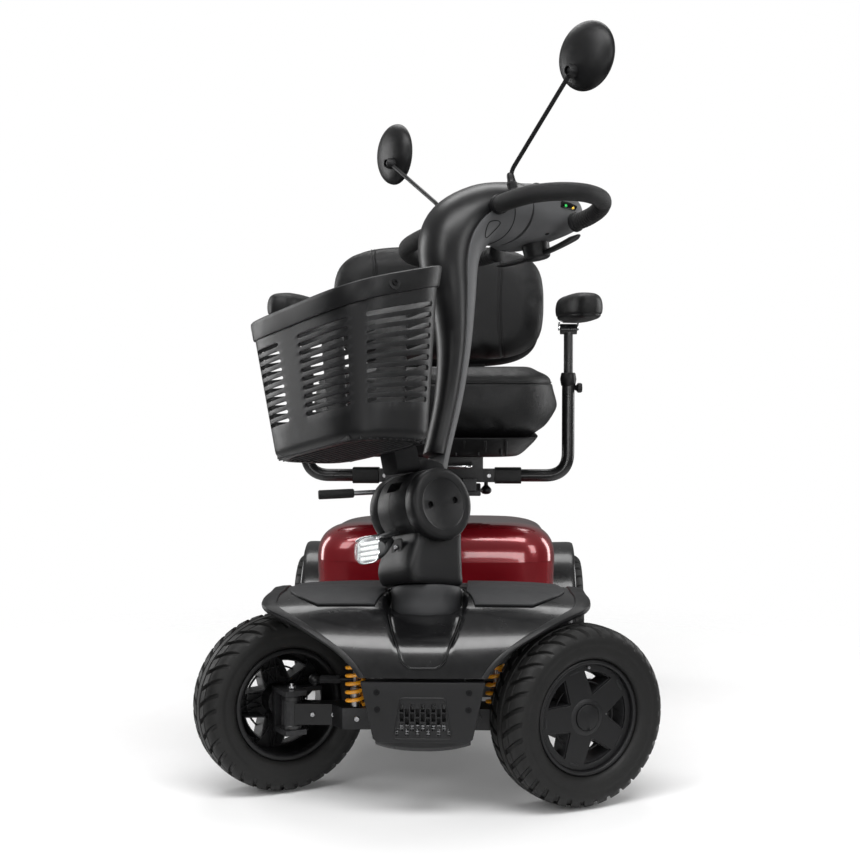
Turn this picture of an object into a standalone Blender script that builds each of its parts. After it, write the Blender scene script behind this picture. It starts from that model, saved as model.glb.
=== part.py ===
"""Four-wheeled mobility scooter: a chassis with sprung, steered front wheels, a steered
and tilting tiller with basket, mirrors and controls, and a swivelling, sliding seat.

The scooter faces -Y and its left side is +X. Shapes are written in metres with the front
axle at Y = 0, the ground at Z = 0 and the steering straight ahead. The root empty then
shifts everything so that the world origin is under the middle, and the steering empties
turn the tiller and the front wheels toward the rider's right.
"""
import bpy
import bmesh
import math
from mathutils import Matrix, Quaternion, Vector

# ---------------------------------------------------------------- driving dimensions
SHIFT_Y = -0.52            # moves the middle of the scooter over the origin
FIT = 0.0003               # clearance left between pieces that touch

WHEEL_R = 0.17
TYRE_W = 0.105
RIM_R = 0.1083
WHEELBASE = 1.0
KINGPIN_X = 0.257          # half the distance between the two kingpins
WHEEL_OUT = 0.0525         # from kingpin to wheel centre
REAR_X = KINGPIN_X + WHEEL_OUT
AXLE_R = 0.012
TURN_STEPS = 30

WHEEL_STEER = math.radians(60.0)
TILLER_STEER = math.radians(51.0)
RAKE = math.radians(14.0)  # the steering axis leans back
STEER_FOOT = Vector((0.0, 0.03, 0.42))
STEER_AXIS = Vector((0.0, math.sin(RAKE), math.cos(RAKE)))

FRAME_HALF = 0.075
FRAME_TOP = 0.16
ARM_PIVOT_X = 0.0905       # suspension arm hinge
ARM_PIVOT_Z = 0.158
ROD_PIN = Vector((0.016, 0.055, 0.0))   # tie rod pin seen from its pivot axis
ROD_Z = 0.213
PITMAN_TOP = 0.198         # lower, so the rods can dip with the suspension
PLATE_TOP = 0.2025         # top of the steering arms

DRUM_R = 0.07              # tilt joint of the tiller
DRUM_HALF = 0.045
CHEEK_HALF = 0.076
DRUM = Vector((0.0, 0.044, 0.547))

SEAT_Y = 0.62              # seat post
POST_R = 0.03
POST_TOP = 0.53
BAR_Z = 0.56               # armrest receiver
BAR_Y = 0.75
ARM_X = 0.314
ARM_TUBE_R = 0.013
ARM_POST_R = 0.009
ARM_PIN = Vector((ARM_X, 0.745, 0.91))
BACK_HINGE = Vector((0.0, 0.905, 0.80))

SIDES = (("left", 1.0), ("right", -1.0))

# ---------------------------------------------------------------- scene set-up
for old in list(bpy.data.objects):
    bpy.data.objects.remove(old, do_unlink=True)
for old in list(bpy.data.collections):
    bpy.data.collections.remove(old)

PARTS = bpy.data.collections.new("mobility_scooter")
CUTTERS = bpy.data.collections.new("cutters")
bpy.context.scene.collection.children.link(PARTS)
bpy.context.scene.collection.children.link(CUTTERS)

ORIGIN = {}                # where each empty sits in straight-ahead coordinates

RUBBER = ((0.022, 0.022, 0.023), 0.78, 0.0)
SATIN = ((0.028, 0.028, 0.030), 0.42, 0.0)
GLOSS = ((0.010, 0.010, 0.011), 0.10, 0.0)
GREY = ((0.055, 0.056, 0.060), 0.50, 0.0)
STEEL = ((0.030, 0.030, 0.032), 0.35, 0.6)
RED = ((0.30, 0.012, 0.018), 0.16, 0.3)
ORANGE = ((0.75, 0.30, 0.03), 0.35, 0.1)
VINYL = ((0.018, 0.018, 0.019), 0.48, 0.0)
FOAM = ((0.015, 0.015, 0.016), 0.70, 0.0)
CHROME = ((0.80, 0.81, 0.82), 0.12, 0.9)


def material(name, look):
    """A Principled material of its own for one piece."""
    rgb, rough, metal = look
    made = bpy.data.materials.new(name)
    made.use_nodes = True
    shader = made.node_tree.nodes["Principled BSDF"]
    shader.inputs["Base Color"].default_value = (*rgb, 1.0)
    shader.inputs["Roughness"].default_value = rough
    shader.inputs["Metallic"].default_value = metal
    made.diffuse_color = (*rgb, 1.0)
    return made


def pivot(name, parent, at, turn=None):
    """An empty on a joint axis, placed in straight-ahead coordinates."""
    empty = bpy.data.objects.new(name, None)
    empty.empty_display_size = 0.05
    PARTS.objects.link(empty)
    start = ORIGIN[parent.name] if parent else Vector()
    empty.parent = parent
    empty.location = Vector(at) - start
    if turn:
        empty.rotation_mode = "QUATERNION"
        empty.rotation_quaternion = Quaternion(turn[0], turn[1])
    ORIGIN[name] = Vector(at)
    return empty


def place(name, data, look, parent, at, turn=(0.0, 0.0, 0.0)):
    """Links a mesh or curve as one named piece; at is in straight-ahead coordinates."""
    ob = bpy.data.objects.new(name, data)
    (PARTS if look else CUTTERS).objects.link(ob)
    ob.parent = parent
    ob.location = Vector(at) - ORIGIN[parent.name]
    ob.rotation_euler = turn
    if look:
        data.materials.append(material(name + "_mat", look))
    else:
        ob.hide_render = True
        ob.display_type = "WIRE"
    return ob


def from_bmesh(name, bm):
    """A mesh datablock from a finished bmesh."""
    data = bpy.data.meshes.new(name)
    bmesh.ops.recalc_face_normals(bm, faces=bm.faces)
    bm.to_mesh(data)
    bm.free()
    return data


def box(name, low, high, look, parent, bevel=0.0, steps=1):
    """A box between two corners, with rounded edges when a bevel is given."""
    low, high = Vector(low), Vector(high)
    bm = bmesh.new()
    bmesh.ops.create_cube(bm, size=1.0)
    bmesh.ops.scale(bm, vec=high - low, verts=bm.verts)
    ob = place(name, from_bmesh(name, bm), look, parent, (low + high) / 2)
    if bevel:
        soften(ob, bevel, steps)
    return ob


def soften(ob, width, steps=1):
    """Rounds the hard edges of a piece."""
    mod = ob.modifiers.new("round", "BEVEL")
    mod.width = width
    mod.segments = steps
    mod.limit_method = "ANGLE"
    mod.angle_limit = math.radians(40.0)
    mod.use_clamp_overlap = True


def rod(name, radius, start, end, look, parent, sides=20):
    """A straight round bar from start to end."""
    start, end = Vector(start), Vector(end)
    bm = bmesh.new()
    bmesh.ops.create_cone(
        bm, cap_ends=True, segments=sides, radius1=radius, radius2=radius,
        depth=(end - start).length)
    ob = place(name, from_bmesh(name, bm), look, parent, (start + end) / 2)
    ob.rotation_euler = (end - start).to_track_quat("Z", "Y").to_euler()
    return ob


def turned(name, profile, look, parent, at, axis=(0.0, 0.0, 1.0), steps=TURN_STEPS, ring=True):
    """A turned piece: profile is (radius, height) pairs, top to bottom on the outer side."""
    data = bpy.data.meshes.new(name)
    count = len(profile)
    edges = [(i, i + 1) for i in range(count - 1)]
    if ring:
        edges.append((count - 1, 0))
    data.from_pydata([(r, 0.0, z) for r, z in profile], edges, [])
    ob = place(name, data, look, parent, at)
    ob.rotation_euler = Vector(axis).to_track_quat("Z", "Y").to_euler()
    mod = ob.modifiers.new("turn", "SCREW")
    mod.axis = "Z"
    mod.angle = math.tau
    mod.steps = steps
    mod.render_steps = steps
    mod.use_merge_vertices = True
    mod.merge_threshold = 0.00001
    return ob


def plate(name, outline, thick, look, parent, at, turn, holes=(), bevel=0.0):
    """A flat outline in its own XY plane, thickened evenly both ways along its own Z."""
    data = bpy.data.curves.new(name, "CURVE")
    data.dimensions = "2D"
    data.fill_mode = "BOTH"
    data.extrude = thick / 2 - bevel
    data.bevel_depth = bevel
    data.bevel_resolution = 1
    for loop in (outline, *holes):
        spline = data.splines.new("POLY")
        spline.points.add(len(loop) - 1)
        for point, (x, y) in zip(spline.points, loop):
            point.co = (x, y, 0.0, 1.0)
        spline.use_cyclic_u = True
    return place(name, data, look, parent, at, turn)


SIDE_ON = (math.pi / 2, 0.0, math.pi / 2)   # outline x, y become Y, Z
FACE_ON = (math.pi / 2, 0.0, 0.0)           # outline x, y become X, Z


def wire(name, path, radius, look, parent, at, smooth=2, closed=False):
    """A round bar bent along a path of points."""
    at = Vector(at)
    data = bpy.data.curves.new(name, "CURVE")
    data.dimensions = "3D"
    data.bevel_depth = radius
    data.bevel_resolution = smooth
    data.use_fill_caps = True
    spline = data.splines.new("POLY")
    spline.points.add(len(path) - 1)
    for point, p in zip(spline.points, path):
        point.co = (*(Vector(p) - at), 1.0)
    spline.use_cyclic_u = closed
    return place(name, data, look, parent, at)


def eased(corners, reach, steps=4):
    """A path through corners, each inner corner rounded over the given reach."""
    corners = [Vector(c) for c in corners]
    path = [corners[0]]
    for before, here, after in zip(corners, corners[1:], corners[2:]):
        a = here + (before - here).normalized() * reach
        b = here + (after - here).normalized() * reach
        for i in range(steps + 1):
            t = i / steps
            path.append(a * (1 - t) ** 2 + here * 2 * t * (1 - t) + b * t ** 2)
    path.append(corners[-1])
    return path


def smooth_path(corners, steps=5):
    """A smooth curve through every corner (Catmull-Rom)."""
    pts = [Vector(c) for c in corners]
    pts = [pts[0] * 2 - pts[1], *pts, pts[-1] * 2 - pts[-2]]
    path = []
    for p0, p1, p2, p3 in zip(pts, pts[1:], pts[2:], pts[3:]):
        for i in range(steps):
            t = i / steps
            path.append(0.5 * (2 * p1 + (p2 - p0) * t + (2 * p0 - 5 * p1 + 4 * p2 - p3) * t * t
                               + (3 * p1 - p0 - 3 * p2 + p3) * t ** 3))
    path.append(pts[-2])
    return path


def loft(name, rings, look, parent, at, caps=(True, True)):
    """A skin over rings of equally many points, capped at the ends."""
    at = Vector(at)
    bm = bmesh.new()
    rows = [[bm.verts.new(Vector(p) - at) for p in ring] for ring in rings]
    count = len(rows[0])
    for low, high in zip(rows, rows[1:]):
        for i in range(count):
            j = (i + 1) % count
            bm.faces.new((low[i], low[j], high[j], high[i]))
    if caps[0]:
        bm.faces.new(rows[0])
    if caps[1]:
        bm.faces.new(rows[-1])
    return place(name, from_bmesh(name, bm), look, parent, at)


def oval(centre, across, along, half_a, half_b, count=20, power=2.0, start=0.0, sweep=math.tau):
    """Points round a superellipse, or part of one, spanned by two directions."""
    centre, across, along = Vector(centre), Vector(across), Vector(along)
    whole = abs(sweep - math.tau) < 1e-6
    ring = []
    for i in range(count):
        a = start + sweep * i / (count if whole else count - 1)
        c, s = math.cos(a), math.sin(a)
        u = math.copysign(abs(c) ** (2.0 / power), c) * half_a
        v = math.copysign(abs(s) ** (2.0 / power), s) * half_b
        ring.append(centre + across * u + along * v)
    return ring


def combine(ob, tool, operation="UNION"):
    """Joins or cuts a piece with another body, which becomes a construction body."""
    mod = ob.modifiers.new(operation.lower(), "BOOLEAN")
    mod.operation = operation
    mod.solver = "EXACT"
    mod.object = tool


X, Y, Z = Vector((1, 0, 0)), Vector((0, 1, 0)), Vector((0, 0, 1))

root = pivot("scooter", None, (0.0, 0.0, 0.0))
root.location = (0.0, SHIFT_Y, 0.0)

# ---------------------------------------------------------------- chassis frame
FRAME_SIDE = (
    (-0.148, 0.140), (-0.06, 0.118), (0.08, 0.124), (0.86, 0.124), (0.90, 0.130), (0.90, FRAME_TOP),
    (-0.034, FRAME_TOP), (-0.034, 0.325), (-0.100, 0.325), (-0.138, 0.25), (-0.148, 0.20))
main_frame = plate(
    "main_frame_core", FRAME_SIDE, 2 * FRAME_HALF, None, root, (0.0, 0.0, 0.0), SIDE_ON)


def solid_from_curve(name, curve_ob, look, parent, at):
    """A closed mesh piece with the shape of a filled curve."""
    bpy.context.view_layer.update()
    data = bpy.data.meshes.new_from_object(curve_ob)
    data.name = name
    here = curve_ob.matrix_world.copy()
    bpy.data.objects.remove(curve_ob, do_unlink=True)
    bm = bmesh.new()
    bm.from_mesh(data)
    bmesh.ops.remove_doubles(bm, verts=bm.verts, dist=0.00001)
    shift = Matrix.Translation(-(Vector(at) + root.location))
    bmesh.ops.transform(bm, matrix=shift @ here, verts=bm.verts)
    return place(name, from_bmesh(name, bm), look, parent, at)


main_frame = solid_from_curve("main_frame", main_frame, STEEL, root, (0.0, 0.0, 0.0))
CROSS_BEAMS = (
    ((-0.150, -0.052, 0.264), (0.150, -0.024, 0.290)),
    ((-0.24, 0.29, 0.125), (0.24, 0.32, FRAME_TOP - 0.001)),
    ((-0.24, 0.50, 0.125), (0.24, 0.53, FRAME_TOP - 0.001)),
    ((-0.20, 0.862, 0.118), (0.20, 0.8985, FRAME_TOP - 0.001)),
)
for number, (low, high) in enumerate(CROSS_BEAMS):
    combine(main_frame, box(f"frame_beam_{number}", low, high, None, root))

BUMPER = ((-0.112, 0.252), (-0.108, 0.232), (-0.090, 0.150), (-0.082, 0.143),
          (0.082, 0.143), (0.090, 0.150), (0.108, 0.232), (0.112, 0.252))
plate("front_bumper_plate", BUMPER, 0.016, SATIN, root, (0.0, -0.1603, 0.0), FACE_ON,
      bevel=0.002)

# ---------------------------------------------------------------- front bodywork
# (Y, Z, half width, side drop) down the middle of the hood, from floor to nose
HOOD = (
    (0.258, 0.1766, 0.240, 0.000), (0.236, 0.190, 0.250, 0.000), (0.200, 0.280, 0.270, 0.004),
    (0.172, 0.358, 0.292, 0.008), (0.140, 0.384, 0.300, 0.012), (0.070, 0.389, 0.305, 0.015),
    (0.000, 0.386, 0.308, 0.014), (-0.060, 0.372, 0.300, 0.008), (-0.100, 0.350, 0.245, 0.004),
    (-0.128, 0.326, 0.195, 0.003), (-0.148, 0.300, 0.152, 0.002), (-0.160, 0.276, 0.126, 0.001),
    (-0.166, 0.2585, 0.113, 0.000))
HOOD_WALL = 0.004
HOOD_COLUMNS = 12


def hood_point(row, side):
    """A point of the hood: row is a place in HOOD, side runs from -1 to 1."""
    y, z, half, drop = HOOD[row]
    bow = 0.02 if z < 0.38 and y < 0.0 else 0.0
    return Vector((half * side, y + bow * side * side, z - drop * side ** 4))


bm = bmesh.new()
grid = [[bm.verts.new(hood_point(row, 2.0 * c / HOOD_COLUMNS - 1.0))
         for c in range(HOOD_COLUMNS + 1)] for row in range(len(HOOD))]
for low, high in zip(grid, grid[1:]):
    for i in range(HOOD_COLUMNS):
        bm.faces.new((low[i], high[i], high[i + 1], low[i + 1]))
data = bpy.data.meshes.new("front_shroud")
bm.to_mesh(data)
bm.free()
hood = place("front_shroud", data, GLOSS, root, (0.0, 0.0, 0.0))
mod = hood.modifiers.new("wall", "SOLIDIFY")
mod.thickness = HOOD_WALL
mod.offset = -1.0
mod.use_even_offset = True
SOCKET_R = 0.066
combine(hood, rod("socket_hole", SOCKET_R + 0.002, STEER_FOOT - STEER_AXIS * 0.13,
                  STEER_FOOT + STEER_AXIS * 0.02, None, root, 24), "DIFFERENCE")


def skin_strip(name, rows, half_near, half_far, lift, thick, look):
    """A raised panel that follows the middle of the hood from one row to another."""
    rings = []
    for n, row in enumerate(rows):
        y0, z0, _, _ = HOOD[max(row - 1, 0)]
        y1, z1, _, _ = HOOD[min(row + 1, len(HOOD) - 1)]
        out = Vector((0.0, z1 - z0, y0 - y1)).normalized()
        half = half_near + (half_far - half_near) * n / (len(rows) - 1)
        ring = []
        for side, height in ((-1, 0), (-0.5, 0), (0, 0), (0.5, 0), (1, 0),
                             (1, 1), (0.5, 1), (0, 1), (-0.5, 1), (-1, 1)):
            share = half * side / HOOD[row][2]
            ring.append(hood_point(row, share) + out * (lift + thick * height))
        rings.append(ring)
    return loft(name, rings, look, root, (0.0, 0.0, 0.0))


skin_strip("shroud_tongue", (7, 8, 9, 10, 11), 0.066, 0.031, 0.0012, 0.005, SATIN)

PAD_SHARES = (
    (4, (0.260, 0.340, 0.500, 0.667, 0.750, 0.800)), (5, (0.260, 0.340, 0.500, 0.667, 0.833, 0.870)),
    (6, (0.270, 0.340, 0.500, 0.667, 0.780, 0.810)), (7, (0.310, 0.360, 0.500, 0.600, 0.640, 0.670)))
PAD_LIFT = 0.0025
PAD_THICK = 0.004
for side_name, side in SIDES:
    rings = []
    for row, shares in PAD_SHARES:
        low = [hood_point(row, side * s) + Z * PAD_LIFT for s in shares]
        rings.append(low + [p + Z * PAD_THICK for p in reversed(low)])
    loft(f"deck_pad_{side_name}", rings, GREY, root, (0.0, 0.0, 0.0))

socket_profile = ((0.060, 0.0), (SOCKET_R, -0.006), (SOCKET_R, -0.03), (0.055, -0.040),
                  (0.045, -0.040), (0.045, -0.012), (0.052, 0.0))
turned("steering_socket", socket_profile, SATIN, root,
       STEER_FOOT - STEER_AXIS * 0.024, STEER_AXIS, 24)

box("floorboard", (-0.26, 0.2605, FRAME_TOP + FIT), (0.26, 0.570, 0.176), GREY, root, 0.003)

# ---------------------------------------------------------------- rear bodywork
REAR_MID = 0.862
REAR_BODY = (   # (Z, half width, half length, fall toward the back)
    (0.202, 0.240, 0.284, 0.0), (0.350, 0.243, 0.284, 0.0), (0.372, 0.266, 0.286, 0.0),
    (0.398, 0.270, 0.286, 0.01), (0.424, 0.264, 0.280, 0.03), (0.439, 0.246, 0.262, 0.05),
    (0.446, 0.210, 0.226, 0.06))
rings = [[p + Z * fall * (REAR_MID - p.y) for p in oval((0.0, REAR_MID, z), X, Y, a, b, 28, 7.0)]
         for z, a, b, fall in REAR_BODY]
rear_shroud = loft("rear_shroud", rings, RED, root, (0.0, 0.0, 0.0), (False, True))
mod = rear_shroud.modifiers.new("wall", "SOLIDIFY")
mod.thickness = 0.004
mod.offset = -1.0
combine(rear_shroud, rod("post_hole", POST_R + 0.004, (0.0, SEAT_Y, 0.40),
                         (0.0, SEAT_Y, 0.52), None, root), "DIFFERENCE")

for side_name, side in SIDES:
    arc = [(math.radians(a)) for a in range(-5, 186, 10)]
    outer = [(0.192 * math.cos(a), 0.192 * math.sin(a)) for a in arc]
    inner = [(0.186 * math.cos(a), 0.186 * math.sin(a)) for a in reversed(arc)]
    plate(f"rear_fender_{side_name}", outer + inner, 0.068, SATIN, root,
          (side * (0.2735 + 0.034), WHEELBASE, WHEEL_R + 0.008), SIDE_ON)

bumper_path = eased(
    [(-0.18, 0.8988, 0.130), (-0.18, 1.12, 0.130), (-0.18, 1.205, 0.21), (0.18, 1.205, 0.21),
     (0.18, 1.12, 0.130), (0.18, 0.8988, 0.130)], 0.05)
wire("rear_bumper", bumper_path, 0.011, STEEL, root, (0.0, 1.12, 0.13))

box("battery_pack", (-0.185, 0.680, FRAME_TOP + FIT), (0.185, 0.895, 0.350), SATIN, root, 0.004)
AXLE_PROFILE = ((AXLE_R, 0.346), (AXLE_R, 0.300), (0.028, 0.300), (0.028, 0.090), (0.062, 0.070),
                (0.066, 0.000), (0.062, -0.070), (0.028, -0.090), (0.028, -0.300),
                (AXLE_R, -0.300), (AXLE_R, -0.346))
turned("transaxle", ((0.0, 0.346), *AXLE_PROFILE, (0.0, -0.346)), STEEL, root,
       (0.0, WHEELBASE, WHEEL_R), X, 24, False)
rod("seat_post", POST_R, (0.0, SEAT_Y, FRAME_TOP + FIT), (0.0, SEAT_Y, POST_TOP), STEEL, root, 24)

# ---------------------------------------------------------------- wheels
TYRE = ((0.146, 0.0520), (0.160, 0.0465), (0.1675, 0.033), (WHEEL_R, 0.012), (WHEEL_R, -0.012),
        (0.1675, -0.033), (0.160, -0.0465), (0.146, -0.0520), (0.122, -0.0500), (0.110, -0.0425),
        (RIM_R + FIT, -0.038), (RIM_R + FIT, 0.038), (0.110, 0.0425), (0.122, 0.0500))
RIM = ((RIM_R, 0.042), (RIM_R, -0.042), (0.098, -0.042), (0.098, 0.024), (0.032, 0.024),
       (0.028, -0.006), (AXLE_R + FIT, -0.006), (AXLE_R + FIT, 0.038), (0.030, 0.038),
       (0.034, 0.033), (0.096, 0.033), (0.100, 0.042))


def wheel(which, axle, centre, out):
    """Tyre and rim of one wheel, on the empty of its axle; out is +1 or -1 along X."""
    axis = X * out
    turned(f"tyre_{which}", TYRE, RUBBER, axle, centre, axis)
    rim = turned(f"rim_{which}", RIM, SATIN, axle, centre, axis)
    for n in range(5):
        angle = math.tau * n / 5
        spoke = Matrix.Rotation(angle, 4, "X") @ Vector((0.0, 0.0, 1.0))
        middle = Vector(centre) + spoke * 0.070 + axis * 0.0285
        bm = bmesh.new()
        bmesh.ops.create_cone(bm, cap_ends=True, segments=3, radius1=0.026, radius2=0.026,
                              depth=0.03)
        cutter = place(f"window_{which}_{n}", from_bmesh("window", bm), None, axle, middle)
        # a corner of the triangle points at the hub
        frame = Matrix((Vector((1, 0, 0)), spoke, X.cross(spoke))).transposed()
        cutter.rotation_euler = (frame @ Matrix.Rotation(math.pi / 2, 3, "Y")
                                 @ Matrix.Rotation(math.pi, 3, "Z")).to_euler()
        combine(rim, cutter, "DIFFERENCE")


for side_name, side in SIDES:
    centre = Vector((side * REAR_X, WHEELBASE, WHEEL_R))
    axle = pivot(f"axle_rear_{side_name}", root, centre)
    wheel(f"rear_{side_name}", axle, centre, side)

# ---------------------------------------------------------------- front suspension
pitman_axis = pivot("pitman_axis", root, (0.0, 0.0, PITMAN_TOP), (Z, -WHEEL_STEER))
pitman = box("pitman_arm", (-0.028, -0.012, PITMAN_TOP - 0.010), (0.028, 0.067, PITMAN_TOP),
             STEEL, pitman_axis)
combine(pitman, rod("pitman_shaft", 0.012, (0, 0, FRAME_TOP + FIT), (0, 0, 0.325), None,
                    pitman_axis))

for side_name, side in SIDES:
    arm_hinge = pivot(f"arm_hinge_{side_name}", root, (side * ARM_PIVOT_X, 0.0, ARM_PIVOT_Z))
    outline = [(0.0905, -0.050), (0.155, -0.052), (0.178, -0.018), (0.250, -0.018),
               (0.250, 0.018), (0.0905, 0.018)]
    rings = [[Vector((x * side, y, z)) for x, y in outline] for z in (0.138, 0.178)]
    arm = loft(f"suspension_arm_{side_name}", rings, STEEL, arm_hinge,
               (side * ARM_PIVOT_X, 0.0, ARM_PIVOT_Z))
    combine(arm, rod(f"arm_eye_{side_name}", 0.015, (side * ARM_PIVOT_X, -0.054, ARM_PIVOT_Z),
                     (side * ARM_PIVOT_X, 0.022, ARM_PIVOT_Z), None, arm_hinge, 16))
    combine(arm, rod(f"kingpin_barrel_{side_name}", 0.020, (side * KINGPIN_X, 0.0, 0.128),
                     (side * KINGPIN_X, 0.0, 0.192), None, arm_hinge, 20))

    # coil spring between the arm and the front beam
    turns, per_turn = 5, 10
    coil = []
    for i in range(turns * per_turn + 1):
        a = math.tau * i / per_turn
        rise = 0.182 + 0.0780 * i / (turns * per_turn)
        coil.append((side * 0.132 + 0.0155 * math.cos(a), -0.037 + 0.0155 * math.sin(a), rise))
    wire(f"spring_{side_name}", coil, 0.0032, ORANGE, root, (side * 0.132, -0.037, 0.182), 1)

    king = Vector((side * KINGPIN_X, 0.0, WHEEL_R))
    king_axis = pivot(f"kingpin_{side_name}", arm_hinge, king, (Z, -WHEEL_STEER))
    knuckle = box(f"knuckle_{side_name}", king + Vector((side * 0.038 - 0.008, -0.022, -0.0525)),
                  king + Vector((side * 0.038 + 0.008, 0.022, 0.0325)), STEEL, king_axis)
    for n, (z0, z1) in enumerate(((-0.0525, -0.0425), (0.0225, 0.0325))):
        ends = sorted((-side * 0.022, side * 0.045))
        combine(knuckle, box(f"knuckle_ear_{side_name}_{n}", king + Vector((ends[0], -0.0215, z0)),
                             king + Vector((ends[1], 0.0215, z1)), None, king_axis))
    pin_x = side * ROD_PIN.x
    combine(knuckle, box(f"steering_arm_{side_name}",
                         king + Vector((pin_x - 0.010, 0.010, 0.0230)),
                         king + Vector((pin_x + 0.010, 0.066, 0.0320)), None, king_axis))
    combine(knuckle, rod(f"rod_seat_{side_name}", 0.006,
                         king + Vector((pin_x, ROD_PIN.y, 0.0280)),
                         king + Vector((pin_x, ROD_PIN.y, 0.0360)), None, king_axis, 12))
    combine(knuckle, rod(f"stub_axle_{side_name}", AXLE_R, king + X * side * 0.040,
                         king + X * side * (WHEEL_OUT + 0.036), None, king_axis))

    # the tie rod keeps square to the scooter, so it turns back by as much as the knuckle turned
    pin = Vector((king.x + pin_x, ROD_PIN.y, ROD_Z))
    rod_axis = pivot(f"rod_pin_{side_name}", king_axis, pin, (Z, WHEEL_STEER))
    tie = rod(f"tie_rod_{side_name}", 0.0055, pin, pin - X * side * KINGPIN_X, STEEL, rod_axis, 12)
    for n, end in enumerate((pin, pin - X * side * KINGPIN_X)):
        combine(tie, rod(f"rod_eye_{side_name}_{n}", 0.010, end - Z * 0.0065, end + Z * 0.0065,
                         None, rod_axis, 14))

    centre = king + X * side * WHEEL_OUT
    axle = pivot(f"axle_front_{side_name}", king_axis, centre)
    wheel(f"front_{side_name}", axle, centre, side)

# ---------------------------------------------------------------- tiller
steer = pivot("steer_axis", root, STEER_FOOT, (STEER_AXIS, -TILLER_STEER))
FORE = Vector((0.0, -math.cos(RAKE), math.sin(RAKE)))     # forward, square to the steering axis


def foot(height, fore):
    """A point of the steering column base, by height up the axis and reach forward."""
    return STEER_FOOT + STEER_AXIS * height + FORE * fore


rings = [oval(foot(h, f), X, FORE, a, b, 20, 5.0)
         for h, f, a, b in ((-0.0235, 0.012, 0.058, 0.060), (0.0, 0.016, 0.060, 0.064),
                            (0.06, 0.008, 0.056, 0.056), (0.10, 0.0, 0.053, 0.050))]
neck = loft("tiller_neck", rings, SATIN, steer, STEER_FOOT)
for n, side in enumerate((1.0, -1.0)):
    combine(neck, rod(f"cheek_{n}", DRUM_R, DRUM + X * side * (DRUM_HALF - 0.002),
                      DRUM + X * side * CHEEK_HALF, None, steer, 28))
combine(neck, rod("drum_room", DRUM_R + 0.0006, DRUM - X * (DRUM_HALF + FIT),
                  DRUM + X * (DRUM_HALF + FIT), None, steer, 28), "DIFFERENCE")

lamp_at = foot(0.052, 0.096)
lamp = loft("headlight", [oval(lamp_at + FORE * d + STEER_AXIS * h, X, STEER_AXIS, a, b, 16, 3.0)
                          for d, h, a, b in ((-0.0245, -0.004, 0.020, 0.014),
                                             (0.006, 0.0, 0.034, 0.020),
                                             (0.030, 0.0, 0.036, 0.019),
                                             (0.044, 0.0, 0.026, 0.012))],
            CHROME, steer, lamp_at)

tilt = pivot("tilt_axis", steer, DRUM)
# (Y, Z, half width, half depth, lean) up the column to the head; lean turns the section
COLUMN = (
    (0.078, 0.585, 0.028, 0.024, 24), (0.106, 0.640, 0.026, 0.022, 27), (0.167, 0.755, 0.028, 0.024, 24),
    (0.205, 0.850, 0.038, 0.032, 18), (0.230, 0.945, 0.050, 0.046, 8), (0.240, 1.020, 0.062, 0.056, 12),
    (0.272, 1.085, 0.076, 0.060, 42), (0.335, 1.122, 0.090, 0.060, 74), (0.405, 1.122, 0.096, 0.062, 98))


def column_ring(row, front, count=12):
    """Half of a column section: the front shell or the back of the column."""
    y, z, half, deep, lean = COLUMN[row]
    lean = math.radians(lean)
    fore = Vector((0.0, -math.cos(lean), math.sin(lean)))
    way = fore if front else -fore
    middle = Vector((0.0, y, z)) + way * FIT
    return oval(middle, X, way, half, deep, count, 2.4, 0.0, math.pi)


column = loft("tiller_column", [column_ring(i, False) for i in range(len(COLUMN))], GREY, tilt, DRUM)
combine(column, rod("tilt_drum", DRUM_R, DRUM - X * DRUM_HALF, DRUM + X * DRUM_HALF, None, tilt, 28))
shell = loft("tiller_front_shell", [column_ring(i, True) for i in range(1, len(COLUMN))], GLOSS,
             tilt, DRUM)

# console: a wedge from the head back to the rider, (Y, top Z, bottom Z, half width)
CONSOLE = ((0.4175, 1.178, 1.068, 0.090), (0.450, 1.170, 1.040, 0.104), (0.500, 1.151, 1.026, 0.110),
           (0.530, 1.132, 1.026, 0.104), (0.552, 1.106, 1.044, 0.084))
rings = [oval((0.0, y, (top + low) / 2), X, Z, half, (top - low) / 2, 20, 4.0)
         for y, top, low, half in CONSOLE]
console = loft("console", rings, SATIN, tilt, (0.0, 0.50, 1.10))

LOOP = ((0.0985, 0.310, 1.118), (0.150, 0.292, 1.112), (0.205, 0.300, 1.108), (0.250, 0.340, 1.100),
        (0.264, 0.392, 1.091), (0.248, 0.445, 1.081), (0.205, 0.476, 1.073), (0.155, 0.484, 1.068),
        (0.1305, 0.482, 1.068))
LOOP_R = 0.0185
for side_name, side in SIDES:
    path = [(x * side, y, z) for x, y, z in smooth_path(LOOP, 3)]
    wire(f"handle_loop_{side_name}", path, LOOP_R, FOAM, tilt, (side * 0.20, 0.40, 1.09))

lever_axis = pivot("throttle_axis", tilt, (0.0, 0.480, 1.010))
lever = box("throttle_lever", (-0.130, 0.468, 1.001), (0.130, 0.492, 1.009), SATIN, lever_axis, 0.002)
combine(lever, rod("lever_hub", 0.020, (0.0, 0.480, 0.998), (0.0, 0.480, 1.0255), None, lever_axis))

# controls stand on the sloping top of the console
TOP_TILT = math.atan2(1.170 - 1.151, 0.050)
TOP_UP = Vector((0.0, math.sin(TOP_TILT), math.cos(TOP_TILT)))


def console_top(x, y, lift=0.0):
    """A point above the flat part of the console's top."""
    z = 1.170 - (y - 0.450) * math.tan(TOP_TILT)
    return Vector((x, y, z)) + TOP_UP * lift


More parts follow.
